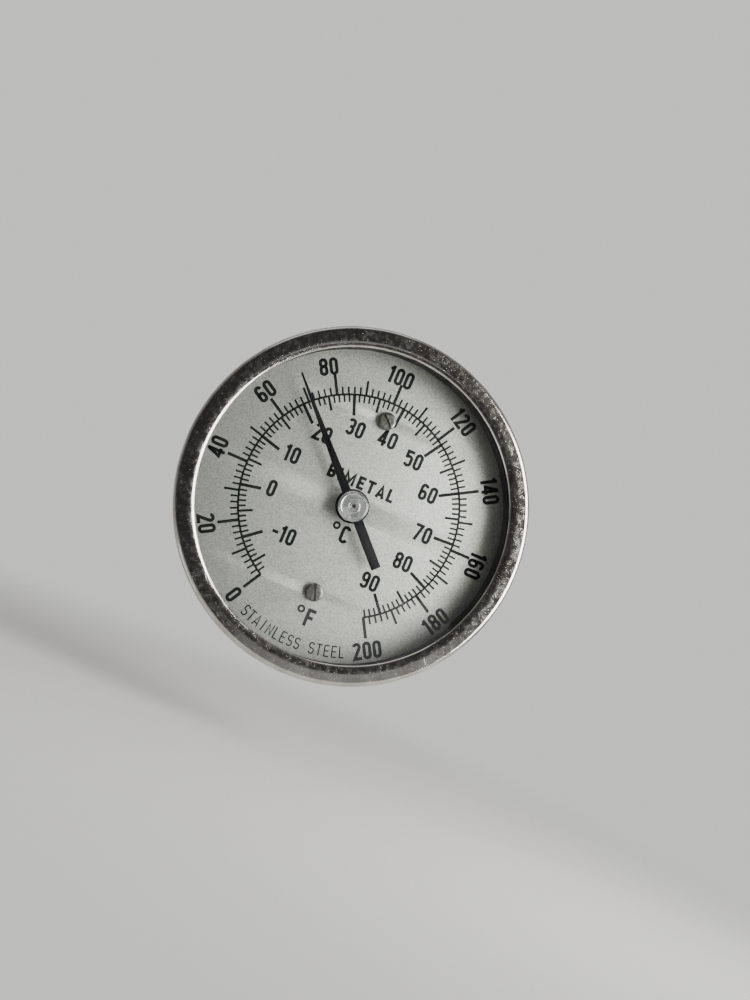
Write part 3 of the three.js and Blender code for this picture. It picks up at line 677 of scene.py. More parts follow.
def make_seal():
    """An L-section seal: a flat under the window and a skirt down inside the case, with soft edges."""
    near, far = front("lens_gasket"), back("lens_gasket")
    bore = LIP_RADIUS + 0.3 * MM
    skirt = bore + 1.2 * MM
    flat_back = near + 1.5 * MM
    corners = [(bore, near), (reach("lens_gasket"), near), (reach("lens_gasket"), flat_back),
               (skirt, flat_back), (skirt, far), (bore, far)]
    fillets = [0.28 * MM, 0.3 * MM, 0.3 * MM, 0.2 * MM, 0.3 * MM, 0.3 * MM]
    seal = turned("window_seal", corners, fillets, 192)
    seated(seal, GASKET_RUBBER, "case", "gasket_rubber", "lens_gasket")


def make_case():
    """A drawn cup with rounded bottom and a flange at its mouth, drilled for the reset screw."""
    near, far = front("case_cup"), back("case_cup")
    flange = reach("case_cup")
    outer = flange - FLANGE_WIDTH
    bore = outer - CASE_WALL
    corners = [
        (SPIGOT_HOLE, far), (outer, far), (outer, near + CASE_WALL), (flange, near + CASE_WALL),
        (flange, near), (bore, near), (bore, far - CASE_WALL), (SPIGOT_HOLE, far - CASE_WALL),
    ]
    fillets = [0.12 * MM, 2.4 * MM, 0.3 * MM, 0.2 * MM, 0.2 * MM, 0.5 * MM, 1.6 * MM, 0.12 * MM]
    cup = turned("case_shell", corners, fillets, 192)
    hole = box_profile(0, 1.6 * MM, far - 3 * CASE_WALL, far + CASE_WALL)
    drill = turned("drill", hole, [0] * 4, 48, RESET_CENTRE)
    seated(cut(cup, drill), CASE_STEEL, "case", "case_steel", "case_cup")


# ---------------------------------------------------------------- fitting and stem

THREAD_PITCH = 1.814 * MM
THREAD_DEPTH = 1.3 * MM
THREAD_CREST = 10.86 * MM
THREAD_TAPER = 1 / 32
THREAD_RELIEF = 1.8 * MM
THREAD_LEAD_IN = 1.6 * MM
THREAD_FLANK = 1.35
FITTING_STEPS = 144


def hexagon_radius(across_flats, steps, corner_cut):
    """The radius of a hexagon with flats up and down at each dial angle: half the flats over the cosine of
    the angle from the nearest flat's middle, held to the round bar that it was cut from."""
    angle = np.linspace(0, 360, steps + 1)
    from_flat = np.radians((angle + 30) % 60 - 30)
    return np.minimum(across_flats / 2 / np.cos(from_flat), across_flats / math.sqrt(3) - corner_cut)


def chamfered_rows(hexagon, face_radius, face, sign):
    """Two rows of a hexagon's end: the face's round edge, then the flats' edge, which a 30 degree cone cuts
    back further where the radius is greater."""
    drop = (hexagon - face_radius) * math.tan(math.radians(30))
    round_edge = np.stack([np.full_like(hexagon, face_radius), np.full_like(hexagon, face)], -1)
    flat_edge = np.stack([hexagon, face + sign * drop], -1)
    return round_edge, flat_edge


def thread_rows(length):
    """Rows that climb with the helix: each row keeps its phase of the thread as it goes once round, and is
    cut off at the relief and at the end. The radius is the root plus the depth times the thread's form, which
    rises and falls along straight flanks between flats, under a cone at each end."""
    half_phases = np.array([0.0, 0.04, 0.065, 0.09, 0.17, 0.25, 0.33, 0.41, 0.435, 0.46, 0.5])
    phases = np.concatenate([half_phases, 1 - half_phases[-2:0:-1]])
    turns = np.arange(-1, math.ceil(length / THREAD_PITCH) + 1)
    climb = (turns[:, None] + phases).ravel()[:, None]
    once_round = np.linspace(0, 1, FITTING_STEPS + 1)
    y = np.clip(THREAD_PITCH * (climb + once_round), THREAD_RELIEF, length)
    phase = (y / THREAD_PITCH - once_round) % 1
    slope = 0.5 + THREAD_FLANK * (0.5 - 2 * np.abs(phase - 0.5))
    form = np.clip(slope, 0.02, 0.98)
    crest = THREAD_CREST - THREAD_TAPER * y
    root = crest - THREAD_DEPTH
    lead_in = np.minimum(length - y, THREAD_LEAD_IN) / THREAD_LEAD_IN
    run_out = np.minimum(y - THREAD_RELIEF, THREAD_LEAD_IN / 3) / (THREAD_LEAD_IN / 3)
    cone = root + THREAD_DEPTH * np.minimum(lead_in, 0.25 + 0.75 * run_out)
    return np.stack([np.minimum(root + THREAD_DEPTH * form, cone), y], -1)


def make_fitting():
    """Spigot with its ring groove, collar, chamfered hexagon, thread relief, tapered pipe thread and bores,
    as one surface whose profile changes round the axis only at the hexagon and the thread."""
    low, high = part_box("hex_fitting")
    near, length = low.y, high.y
    ring_near, ring_far = front("carrier_retaining_ring"), back("carrier_retaining_ring")
    spigot, groove, collar = 5.0 * MM, 4.4 * MM, 9.5 * MM
    guide_bore, stem_bore, stem_seat = 2.675 * MM, 3.275 * MM, -8.8 * MM
    hex_near = -10.0 * MM
    collar_near = back("case_cup") + SEAT_GAP
    relief = THREAD_CREST - THREAD_DEPTH - THREAD_TAPER * length - SEAT_GAP
    hexagon = hexagon_radius(24.0 * MM, FITTING_STEPS, 0.12 * MM)
    near_rows = chamfered_rows(hexagon, 11.6 * MM, hex_near, 1)
    far_rows = chamfered_rows(hexagon, 11.6 * MM, 0.0, -1)
    same = lambda radius, y: np.broadcast_to((radius, y), (FITTING_STEPS + 1, 2))
    corners = [
        (same(stem_bore, stem_seat), 0), (same(guide_bore, stem_seat), 0),
        (same(guide_bore, near), 0.15 * MM), (same(spigot, near), 0.3 * MM),
        (same(spigot, ring_near - SEAT_GAP), 0.05 * MM), (same(groove, ring_near - SEAT_GAP), 0.05 * MM),
        (same(groove, ring_far + SEAT_GAP), 0.05 * MM), (same(spigot, ring_far + SEAT_GAP), 0.05 * MM),
        (same(spigot, collar_near), 0.15 * MM), (same(collar, collar_near), 0.25 * MM),
        (same(collar, hex_near), 0.2 * MM), (near_rows[0], 0.1 * MM), (near_rows[1], 0.12 * MM),
        (far_rows[1], 0.12 * MM), (far_rows[0], 0.1 * MM), (same(relief, 0.0), 0.3 * MM),
        (same(relief, THREAD_RELIEF), 0), (same(stem_bore, length), 0.15 * MM),
    ]
    profile = rounded([row for row, _ in corners], [fillet for _, fillet in corners], steps=3)
    thread = thread_rows(length)
    split = len(profile) - 6
    profile = np.concatenate([profile[:split], thread, profile[split:]])
    fitting = skin("pipe_fitting", round_the_stem(profile, FITTING_STEPS), closed_rows=True)
    seated(fitting, FITTING_STEEL, "case", "fitting_steel", "hex_fitting")


def make_stem():
    """A thin drawn tube closed by a round-nosed plug that is welded in flush."""
    outer, bore = reach("stem_tube"), reach("stem_tube") - 0.5 * MM
    tube = turned("probe_tube", box_profile(bore, outer, front("stem_tube"), back("stem_tube")),
                  [0.05 * MM, 0.1 * MM, 0.06 * MM, 0.05 * MM], 96)
    seated(tube, STEM_STEEL, "case", "stem_steel", "stem_tube")
    shank, tip, shoulder = bore - SEAT_GAP, back("stem_tip_plug"), back("stem_tube") + SEAT_GAP
    corners = [(0, front("stem_tip_plug")), (shank, front("stem_tip_plug")), (shank, shoulder),
               (outer, shoulder), (outer, tip), (0, tip)]
    plug = turned("probe_tip", corners, [0, 0.2 * MM, 0.05 * MM, 0.06 * MM, 1.5 * MM, 0], 96)
    seated(plug, STEM_STEEL, "case", "stem_steel", "stem_tip_plug")


def make_coil():
    """The bimetal strip: a rounded flat section carried along a helix, angle and height rising together. In
    the thermometer it twists between its fixed end at the tip and the collar on the shaft; here it is one
    still piece on no body."""
    low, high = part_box("bimetal_coil")
    width, thickness, pitch = 1.25 * MM, 0.35 * MM, 1.85 * MM
    climb = high.y - low.y - width
    turns = math.floor(climb / pitch)
    outer = 2.325 * MM
    share = np.linspace(0, 1, turns * 40 + 1)[:, None]
    angle = 2 * np.pi * turns * share
    section = rounded([(outer - thickness, 0), (outer, 0), (outer, width), (outer - thickness, width)],
                      [0.06 * MM] * 4, steps=2)[:, 0]
    section = np.concatenate([section, section[:1]])
    radius, along = section[:, 0], section[:, 1]
    grid = np.stack([radius * np.sin(angle), low.y + climb * share + along, radius * np.cos(angle)], -1)
    coil = skin("sensing_coil", grid, capped=True)
    coil.data.materials.append(STRIP_METAL)
    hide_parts("bimetal_coil")
    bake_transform(coil)


# ---------------------------------------------------------------- pointer

REST_ANGLE = math.radians((70.5 - 100) * 1.5)


def make_pointer():
    """A blade that tapers to its tip and a square-ended tail, on a round eye that shows round the hub."""
    low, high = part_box("pointer")
    tip = LIP_RADIUS - 3.5 * MM
    tip_half, root_half, tail_half, tail = 0.2 * MM, 1.1 * MM, 1.2 * MM, 16.0 * MM
    eye, hole = 4.15 * MM, 2.0 * MM
    blade_angle = math.asin(root_half / eye)
    tail_angle = math.pi - math.asin(tail_half / eye)
    side = on_dial(np.linspace(blade_angle, tail_angle, 33), eye)
    right = np.concatenate([[(tip_half, tip)], side, [(tail_half, -tail)]])
    left = right[::-1] * (-1, 1)
    outline = np.concatenate([right, left])
    cosine, sine = math.cos(REST_ANGLE), math.sin(REST_ANGLE)
    turn = np.array([(cosine, -sine), (sine, cosine)])
    hand = plate("pointer_hand", outline @ turn, low.y, high.y, 0.06 * MM, [ring_outline(hole, 48)])
    seated(hand, POINTER_PAINT, "pointer", "pointer_black", "pointer")


def make_hub():
    """A turned disc: a bevelled rim, a flat face with a raised ring and a groove round the middle, and a
    bored boss that grips the shaft."""
    near, far, outer = front("pointer_hub"), back("pointer_hub"), reach("pointer_hub")
    flange_far = near + 1.3 * MM
    bore, boss = 0.58 * MM, 1.9 * MM
    corners = [
        (bore, near + 0.1 * MM), (1.02 * MM, near + 0.1 * MM), (1.14 * MM, near + 0.02 * MM),
        (1.5 * MM, near + 0.02 * MM), (1.66 * MM, near + 0.12 * MM), (2.82 * MM, near + 0.09 * MM),
        (3.0 * MM, near), (outer - 0.42 * MM, near), (outer, near + 0.34 * MM), (outer, flange_far),
        (boss, flange_far), (boss, far), (0.9 * MM, far), (0.9 * MM, near + 1.2 * MM),
        (bore, near + 1.1 * MM),
    ]
    fillets = [
        0.05 * MM, 0.06 * MM, 0.06 * MM, 0.06 * MM, 0.1 * MM, 0.08 * MM, 0.06 * MM, 0.1 * MM,
        0.1 * MM, 0.12 * MM, 0.1 * MM, 0.1 * MM, 0.05 * MM, 0, 0,
    ]
    hub = turned("pointer_cap", corners, fillets, 128)
    seated(hub, HUB_ALUMINIUM, "pointer", "hub_aluminium", "pointer_hub")


def make_shaft():
    """A ground rod with a centre-drilled end towards the reader and a collar that holds the coil."""
    near, far, radius = front("pointer_shaft"), back("pointer_shaft"), reach("pointer_shaft")
    end, neck, shoulder = near + 0.95 * MM, 0.24 * MM, near + 1.45 * MM
    corners = [(0, end), (neck, end), (neck, shoulder), (radius, shoulder), (radius, far), (0, far)]
    shaft = turned("pointer_spindle", corners, [0, 0.1 * MM, 0.05 * MM, 0.1 * MM, 0.1 * MM, 0], 64)
    seated(shaft, SHAFT_STEEL, "pointer", "shaft_steel", "pointer_shaft")
    low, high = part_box("coil_collar")
    bore, boss = radius + SEAT_GAP, 1.778 * MM
    disc = low.y + 2.0 * MM
    corners = [(bore, low.y), (high.x, low.y), (high.x, disc), (boss, disc), (boss, high.y), (bore, high.y)]
    fillets = [0.05 * MM, 0.12 * MM, 0.12 * MM, 0.05 * MM, 0.1 * MM, 0.05 * MM]
    collar = turned("spindle_collar", corners, fillets, 64)
    seated(collar, GEAR_BRASS, "pointer", "gear_brass", "coil_collar")


# ---------------------------------------------------------------- dial and its print

INK_FRONT = DIAL_FACE - 0.02 * MM
INK_BACK = DIAL_FACE + 0.004 * MM
SCALE_RADIUS = 27.0
SCREW_CIRCLE = (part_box("dial_screw_upper")[0].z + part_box("dial_screw_upper")[1].z) / 2


def make_dial_plate():
    """A flat disc with a centre hole and two screw holes."""
    holes = [ring_outline(2.8 * MM, 64)]
    holes += [ring_outline(1.2 * MM, 32, (0, side * SCREW_CIRCLE)) for side in (1, -1)]
    edge = ring_outline(reach("dial_plate"), 256)
    disc = plate("dial_disc", edge, DIAL_FACE, back("dial_plate"), 0.06 * MM, holes)
    seated(disc, DIAL_SILVER, "dial", "dial_silver", "dial_plate")


def bow(x, y, across, up, start, end, steps=10):
    """Points along an ellipse's arc, with its angles in degrees anticlockwise from +x."""
    angle = np.radians(np.linspace(start, end, steps + 1))
    return np.stack([x + across * np.cos(angle), y + up * np.sin(angle)], -1)


def strokes_of(letter, width, stroke):
    """The centre lines of an even-stroke letter or numeral one unit high: a list of (points, closed)."""
    left, right, low, high = stroke / 2, width - stroke / 2, stroke / 2, 1 - stroke / 2
    middle, round_ = width / 2, (width - stroke) / 2
    waist = 0.8 * round_
    over = lambda start, end: bow(middle, high - round_, round_, round_, start, end)
    under = lambda start, end: bow(middle, low + round_, round_, round_, start, end)
    upper_waist = lambda start, end: bow(middle, 0.5 + waist, round_, waist, start, end)
    lower_waist = lambda start, end: bow(middle, 0.5 - waist, round_, waist, start, end)
    stadium = lambda bottom, top: np.concatenate([
        bow(middle, top - round_, round_, round_, 0, 180),
        bow(middle, bottom + round_, round_, round_, 180, 360),
    ])
    line = lambda *points: (np.array(points, float), False)
    open_ = lambda *parts: (np.concatenate([np.atleast_2d(part) for part in parts]), False)
    lobe = (high - 0.5) / 2
    lobes = [open_((left, top), (right - lobe, top), bow(right - lobe, top - lobe, lobe, lobe, 90, -90),
                   (left, top - 2 * lobe)) for top in (high, 0.5)]
    six = [(stadium(low, 0.62 - stroke / 2), True), open_(over(8, 180), (left, low + round_))]
    shapes = {
        "0": lambda: [(stadium(low, high), True)],
        "1": lambda: [line((0.66 * width, 0), (0.66 * width, 1)), line((0.06, 0.77), (0.66 * width, 0.87))],
        "2": lambda: [open_(over(172, -32), (left, low), (width, low))],
        "3": lambda: [open_(over(168, 0), upper_waist(0, -90), (middle - 0.07, 0.5)),
                      open_((middle - 0.07, 0.5), lower_waist(90, 0), under(0, -168))],
        "4": lambda: [line((right - 0.07, 0), (right - 0.07, 1)),
                      line((right - 0.09, 0.95), (left * 0.7, 0.26), (width, 0.26))],
        "5": lambda: [line((width - 0.03, high), (left, high), (left, 0.5)),
                      open_(bow(middle, 0.63 - round_, round_, round_, 160, 0), under(0, -168))],
        "6": lambda: six,
        "7": lambda: [line((0, high), (right, high), (middle - 0.08, 0))],
        "8": lambda: [(stadium(low, 0.53), True), (stadium(0.53, high), True)],
        "9": lambda: [((width, 1) - points, closed) for points, closed in six],
        "-": lambda: [line((0, 0.47), (width, 0.47))],
        "A": lambda: [line((left * 0.6, 0), (middle, high + stroke * 0.1), (width - left * 0.6, 0)),
                      line((0.24 * width, 0.27), (0.76 * width, 0.27))],
        "B": lambda: [line((left, 0), (left, 1)), *lobes],
        "C": lambda: [open_(over(12, 180), under(180, 348))],
        "E": lambda: [line((width, high), (left, high), (left, low), (width, low)),
                      line((left, 0.51), (0.88 * width, 0.51))],
        "F": lambda: [line((width, high), (left, high), (left, 0)), line((left, 0.5), (0.9 * width, 0.5))],
        "I": lambda: [line((middle, 0), (middle, 1))],
        "L": lambda: [line((left, 1), (left, low), (width, low))],
        "M": lambda: [line((left, 0), (left, high), (middle, 0.22), (right, high), (right, 0))],
        "N": lambda: [line((left, 0), (left, high - 0.02), (right, low + 0.02), (right, 1))],
        "S": lambda: [open_(over(15, 180), upper_waist(180, 262), lower_waist(82, 0), under(0, -165))],
        "T": lambda: [line((middle, 0), (middle, 1)), line((0, high), (width, high))],
    }
    return shapes[letter]()


WIDTHS = {"1": 0.75, "-": 0.7, "I": 0.45, "M": 1.35, "E": 0.9, "L": 0.85, "F": 0.95}


def written(text, height, width, stroke, gap, centre, turn):
    """A line of text as strokes on the dial: each letter's lines are scaled to the height, set side by side
    with a gap, centred, turned clockwise by a dial angle and moved to the centre. Sizes are in millimetres,
    and width, stroke and gap are shares of the height."""
    widths = [width * WIDTHS.get(letter, 1.0) for letter in text]
    starts = np.cumsum([0, *[w + gap for w in widths[:-1]]])
    whole = starts[-1] + widths[-1]
    right_way = np.array([(math.cos(turn), -math.sin(turn)), (math.sin(turn), math.cos(turn))])
    found = []
    for letter, letter_width, start in zip(text, widths, starts):
        for points, closed in strokes_of(letter, letter_width, stroke):
            moved = (points + (start - whole / 2, -0.5)) * height
            found.append((moved @ right_way + centre, height * stroke / 2, closed))
    return found


def ribbon(points, half_width, closed):
    """A flat stroke's grid: at each point of its line the two edges stand off along the mitred normal, on the
    ink's back and front, so that four corners go along the line."""
    keep = np.ones(len(points), bool)
    keep[1:] = np.linalg.norm(np.diff(points, axis=0), axis=1) > 1e-4
    points = points[keep]
    if closed and np.linalg.norm(points[0] - points[-1]) < 1e-4:
        points = points[:-1]
    ahead = np.roll(points, -1, 0) - points
    ahead /= np.linalg.norm(ahead, axis=1, keepdims=True)
    if not closed:
        ahead[-1] = ahead[-2]
    behind = np.roll(ahead, 1, 0)
    if not closed:
        behind[0] = ahead[0]
    normal = np.stack([-ahead[:, 1], ahead[:, 0]], -1)
    normal_behind = np.stack([-behind[:, 1], behind[:, 0]], -1)
    mitre = normal + normal_behind
    mitre /= np.linalg.norm(mitre, axis=1, keepdims=True)
    mitre /= np.maximum((mitre * normal).sum(1, keepdims=True), 0.45)
    edges = [points + side * half_width * mitre for side in (-1, 1)]
    corner = [np.insert(edge * MM, 1, y, axis=1) for edge, y in
              ((edges[0], INK_BACK), (edges[1], INK_BACK), (edges[1], INK_FRONT), (edges[0], INK_FRONT))]
    return np.stack(corner, 1)


def printed(name, strokes):
    """All strokes of one printing, as closed flat ribbons in one piece."""
    points, faces, count = [], [], 0
    for line, half_width, closed in strokes:
        grid = ribbon(np.asarray(line, float), half_width, closed)
        rows = len(grid)
        row = np.arange(rows if closed else rows - 1)[:, None] * 4
        ahead = (row + 4) % (rows * 4)
        side, other = np.arange(4)[None], (np.arange(4)[None] + 1) % 4
        quads = np.stack([row + side, row + other, ahead + other, ahead + side], -1).reshape(-1, 4) + count
        faces += quads.tolist()
        if not closed:
            last = count + (rows - 1) * 4
            faces += [[count, count + 1, count + 2, count + 3], [last + 3, last + 2, last + 1, last]]
        points.append(grid.reshape(-1, 3))
        count += rows * 4
    mesh = bpy.data.meshes.new(name)
    mesh.from_pydata(np.concatenate(points).tolist(), [], faces)
    work = bmesh.new()
    work.from_mesh(mesh)
    bmesh.ops.recalc_face_normals(work, faces=work.faces)
    work.to_mesh(mesh)
    work.free()
    seated(linked(name, mesh), PRINT_INK, "dial", "pointer_black")


def scale_angle(fahrenheit):
    """The dial angle of a temperature: 1.5 degrees of turn for each degree, with 100 at 12 o'clock."""
    return np.radians((np.asarray(fahrenheit) - 100) * 1.5)


def ticks(temperatures, to_fahrenheit, steps, ends, half_widths):
    """Radial marks from the scale circle: the first step that divides a temperature sets its mark's end, as a
    share of the circle's radius, and its width."""
    found = []
    for temperature in temperatures:
        kind = next(i for i, step in enumerate(steps) if temperature % step == 0)
        angle = scale_angle(to_fahrenheit(temperature))
        ends_at = np.array([1.0, ends[kind]]) * SCALE_RADIUS
        found.append((on_dial(np.full(2, angle), ends_at), half_widths[kind], False))
    return found


def make_print():
    """The scale circle and its marks, the Fahrenheit numerals outside, the Celsius numerals inside, the two
    unit signs and two plain words."""
    circle = on_dial(scale_angle(np.linspace(-0.12, 200.12, 301)), SCALE_RADIUS)
    marks = [(circle, 0.26, False)]
    marks += ticks(range(0, 201, 2), lambda f: f, (20, 10, 2), (1.188, 1.135, 1.070), (0.37, 0.29, 0.235))
    to_fahrenheit = lambda c: c * 1.8 + 32
    marks += ticks(range(-17, 94), to_fahrenheit, (10, 5, 1), (0.811, 0.870, 0.931), (0.38, 0.30, 0.235))
    printed("scale_marks", marks)

    fahrenheit_places = {
        0: (-17.5, -30.3), 20: (-30.1, -17.3), 40: (-34.8, 0.5), 60: (-29.7, 17.1), 80: (-18.1, 28.8),
        100: (-1.0, 33.6), 120: (17.5, 30.0), 140: (30.3, 17.2), 160: (34.2, -1.0), 180: (30.3, -17.5),
        200: (17.5, -30.3),
    }
    outer = []
    for fahrenheit, place in fahrenheit_places.items():
        angle = float(scale_angle(fahrenheit))
        upside_down = math.pi if abs(angle) > math.radians(100) else 0.0
        outer += written(str(fahrenheit), 4.3, 0.5, 0.185, 0.075, place, angle + upside_down)
    printed("fahrenheit_numerals", outer)

    celsius_places = {
        -10: (-12.1, -12.5), 0: (-19.1, -3.5), 10: (-17.9, 5.9), 20: (-13.1, 13.4), 30: (-6.2, 17.8),
        40: (2.1, 18.6), 50: (9.9, 16.4), 60: (16.4, 10.4), 70: (19.0, 0.9), 80: (17.2, -7.3),
        90: (11.6, -14.8),
    }
    inner = []
    for celsius, place in celsius_places.items():
        inner += written(str(celsius), 4.2, 0.5, 0.185, 0.075, place, 0.0)
    printed("celsius_numerals", inner)

    words = []
    for letter, place in (("C", (1.5, -6.8)), ("F", (1.5, -28.5))):
        words += written(letter, 4.4, 0.52, 0.185, 0.0, place, 0.0)
        words.append((bow(place[0] - 2.7, place[1] + 1.35, 0.7, 0.7, 0, 360, 24), 0.27, True))
    words += written("BIMETAL", 3.3, 0.62, 0.23, 0.2, (0.3, 6.2), 0.0)
    words += around("STAINLESS STEEL", 2.9, 35.2)
    printed("dial_words", words)


def around(text, height, radius):
    """Thin capitals set one by one along the bottom of the dial, tops inward and evenly spaced."""
    spread = np.radians(3.0)
    angles = np.radians(181.2) - (np.arange(len(text)) - (len(text) - 1) / 2) * spread
    found = []
    for letter, angle in zip(text, angles):
        if letter != " ":
            found += written(letter, height, 0.5, 0.115, 0.0, on_dial(angle, radius), angle + math.pi)
    return found


def make_dial_screw(name, node, slot_turn):
    """A pan head screw: a nearly flat head with a round edge on a plain shank, and a saw slot across it."""
    low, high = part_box(node)
    centre = ((low.x + high.x) / 2, (low.z + high.z) / 2)
    head, seat = (high.x - low.x) / 2, low.y + 1.2 * MM
    corners = [(0, low.y), (0.8 * head, low.y + 0.03 * MM), (head, low.y + 0.26 * MM), (head, seat),
               (1.0 * MM, seat), (1.0 * MM, high.y), (0, high.y)]
    screw = turned(name, corners, [0, 0.6 * MM, 0.2 * MM, 0.12 * MM, 0.1 * MM, 0.2 * MM, 0], 96, centre)
    saw = slot_tool(centre, 0.35 * MM, 2 * head, low.y - 1 * MM, low.y + 0.6 * MM, slot_turn)
    eased(cut(screw, saw), 0.045 * MM)
    seated(screw, SCREW_STEEL, "dial", "screw_steel", node)


def make_posts():
    """The two round posts behind the dial, each riveted through the carrier and bored for its screw."""
    for name, node in (("upper_post", "dial_post_upper"), ("lower_post", "dial_post_lower")):
        low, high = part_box(node)
        centre = ((low.x + high.x) / 2, (low.z + high.z) / 2)
        outer, rivet, bore = (high.x - low.x) / 2, 1.3 * MM, 1.1 * MM
        shoulder, bottom = low.y + 5.7 * MM, low.y + 3.8 * MM
        corners = [(0, bottom + 0.5 * MM), (bore, bottom), (bore, low.y), (outer, low.y), (outer, shoulder),
                   (rivet, shoulder), (rivet, high.y), (0, high.y)]
        fillets = [0, 0.05 * MM, 0.1 * MM, 0.2 * MM, 0.15 * MM, 0.05 * MM, 0.25 * MM, 0]
        seated(turned(name, corners, fillets, 64, centre), GEAR_BRASS, "dial", "gear_brass", node)


# ---------------------------------------------------------------- carrier, bushes and reset gear


def make_bushes():
    """Bronze bushes for the shaft and for the carrier, with eased ends, and the coil's brass anchor."""
    shaft_bore = reach("pointer_shaft") + SEAT_GAP
    for name, node, bore in (
        ("front_bush", "guide_bushing_upper", shaft_bore),
        ("rear_bush", "guide_bushing_lower", shaft_bore),
        ("carrier_bush", "carrier_bushing", SPIGOT_HOLE),
    ):
        corners = box_profile(bore, reach(node), front(node), back(node))
        seated(turned(name, corners, [0.12 * MM] * 4, 96), BUSH_BRONZE, "case", "bushing_bronze", node)
    low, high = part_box("coil_anchor")
    disc, boss = high.y - 1.5 * MM, 1.778 * MM
    corners = [(0, low.y), (boss, low.y), (boss, disc), (high.x, disc), (high.x, high.y), (0, high.y)]
    anchor = turned("coil_end_plug", corners, [0, 0.12 * MM, 0.05 * MM, 0.12 * MM, 0.12 * MM, 0], 64)
    seated(anchor, GEAR_BRASS, "case", "gear_brass", "coil_anchor")


def make_wave_washer():
    """A thin ring whose height follows three cosine waves round the axis."""
    low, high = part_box("carrier_spring_washer")
    middle, wave = (low.y + high.y) / 2, 0.22 * MM
    half = (high.y - low.y) / 2 - wave
    inner = reach("carrier_bushing") + 2 * SEAT_GAP
    outer = reach("carrier_spring_washer")
    profile = rounded(box_profile(inner, outer, middle - half, middle + half), [0.05 * MM] * 4)
    grid = round_the_stem(profile, 144)
    grid[..., 1] += wave * np.cos(3 * np.linspace(0, 2 * np.pi, 145))
    washer = skin("wave_washer", grid, closed_rows=True)
    seated(washer, SPRING_STEEL, "case", "spring_steel", "carrier_spring_washer")


def split_ring(name, node, inner, centre, body):
    """A flat spring ring with an opening that faces 12 o'clock."""
    low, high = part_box(node)
    outer = (high.x - low.x) / 2
    half = math.radians(17)
    outward = on_dial(np.linspace(half, 2 * np.pi - half, 65), outer)
    inward = on_dial(np.linspace(2 * np.pi - half, half, 65), inner)
    outline = np.concatenate([outward, inward]) + np.asarray(centre)
    seated(plate(name, outline, low.y, high.y, 0.05 * MM), SPRING_STEEL, body, "spring_steel", node)


def tooth_outline(middles, pitch_radius, teeth, module):
    """Involute teeth about their middles: half a tooth's angle at a radius is its angle at the pitch circle,
    plus the involute of the pressure angle, less the involute of the angle at that radius."""
    pressure = math.radians(20)
    involute = lambda angle: np.tan(angle) - angle
    base = pitch_radius * math.cos(pressure)
    radius = np.linspace(pitch_radius - 1.25 * module, pitch_radius + 0.85 * module, 9)
    there = np.arccos(np.minimum(1, base / np.maximum(radius, base)))
    at_pitch = math.pi / (2 * teeth) - 0.08 * MM / pitch_radius
    half = at_pitch + involute(pressure) - involute(there)
    angle = np.concatenate([-half, half[::-1]])
    radii = np.concatenate([radius, radius[::-1]])
    return on_dial((middles[:, None] + angle).ravel(), np.tile(radii, len(middles)))


def make_reset_gear():
    """The pinion with its boss, the hex-headed and slotted reset screw, its clip and its sealing ring."""
    teeth, module = 12, 0.8 * MM
    low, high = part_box("reset_pinion")
    gear_far = low.y + 1.0 * MM
    middles = math.pi / 2 + 2 * math.pi * (np.arange(teeth) + 0.5) / teeth
    outline = tooth_outline(middles, module * teeth / 2, teeth, module) + np.asarray(RESET_CENTRE)
    hole = ring_outline(1.6 * MM, 48, RESET_CENTRE)
    pinion = plate("reset_gear", outline, low.y, gear_far, 0.04 * MM, [hole])
    boss = turned("reset_gear_boss", box_profile(1.6 * MM, 2.9 * MM, gear_far, high.y), [0.05 * MM] * 4, 64,
                  RESET_CENTRE)
    seated(pinion, GEAR_BRASS, "reset", "gear_brass", "reset_pinion")
    seated(boss, GEAR_BRASS, "reset", "gear_brass")

    low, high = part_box("reset_screw")
    steps = 96
    shank, groove, head_seat = 1.5 * MM, 1.1 * MM, high.y - 3.2 * MM
    clip_near, clip_far = front("reset_retaining_clip") - SEAT_GAP, back("reset_retaining_clip") + SEAT_GAP
    hexagon = hexagon_radius(7.0 * MM, steps, 0.06 * MM)
    rows = chamfered_rows(hexagon, 3.35 * MM, high.y, -1)
    seat_rows = chamfered_rows(hexagon, 3.4 * MM, head_seat, 1)
    same = lambda radius, y: np.broadcast_to((radius, y), (steps + 1, 2))
    corners = [
        (same(0, low.y), 0), (same(shank, low.y), 0.25 * MM), (same(shank, clip_near), 0.03 * MM),
        (same(groove, clip_near), 0.03 * MM), (same(groove, clip_far), 0.03 * MM),
        (same(shank, clip_far), 0.03 * MM),
        (same(shank, head_seat), 0.06 * MM), (seat_rows[0], 0.05 * MM), (seat_rows[1], 0.06 * MM),
        (rows[1], 0.08 * MM), (rows[0], 0.08 * MM), (same(0, high.y), 0),
    ]
    profile = rounded([row for row, _ in corners], [fillet for _, fillet in corners], steps=3)
    screw = skin("reset_spindle", round_the_stem(profile, steps, RESET_CENTRE), closed_rows=True)
    saw = slot_tool(RESET_CENTRE, 6 * MM, 0.5 * MM, high.y - 1.1 * MM, high.y + 1 * MM, 0.0)
    cut(screw, saw)
    seated(screw, SCREW_STEEL, "reset", "screw_steel", "reset_screw")

    split_ring("reset_clip", "reset_retaining_clip", groove + SEAT_GAP, RESET_CENTRE, "reset")
    low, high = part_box("reset_oring")
    section = (high.y - low.y) / 2
    round_section = (low.y + high.y) / 2 + section * np.sin(np.linspace(0, 2 * np.pi, 25)[:-1])
    offset = (high.x - low.x) / 2 - section + section * np.cos(np.linspace(0, 2 * np.pi, 25)[:-1])
    profile = np.stack([offset, round_section], -1)[:, None]
    ring = skin("reset_seal", round_the_stem(profile, 64, RESET_CENTRE), closed_rows=True)
    seated(ring, GASKET_RUBBER, "case", "gasket_rubber", "reset_oring")


# ---------------------------------------------------------------- floor and light


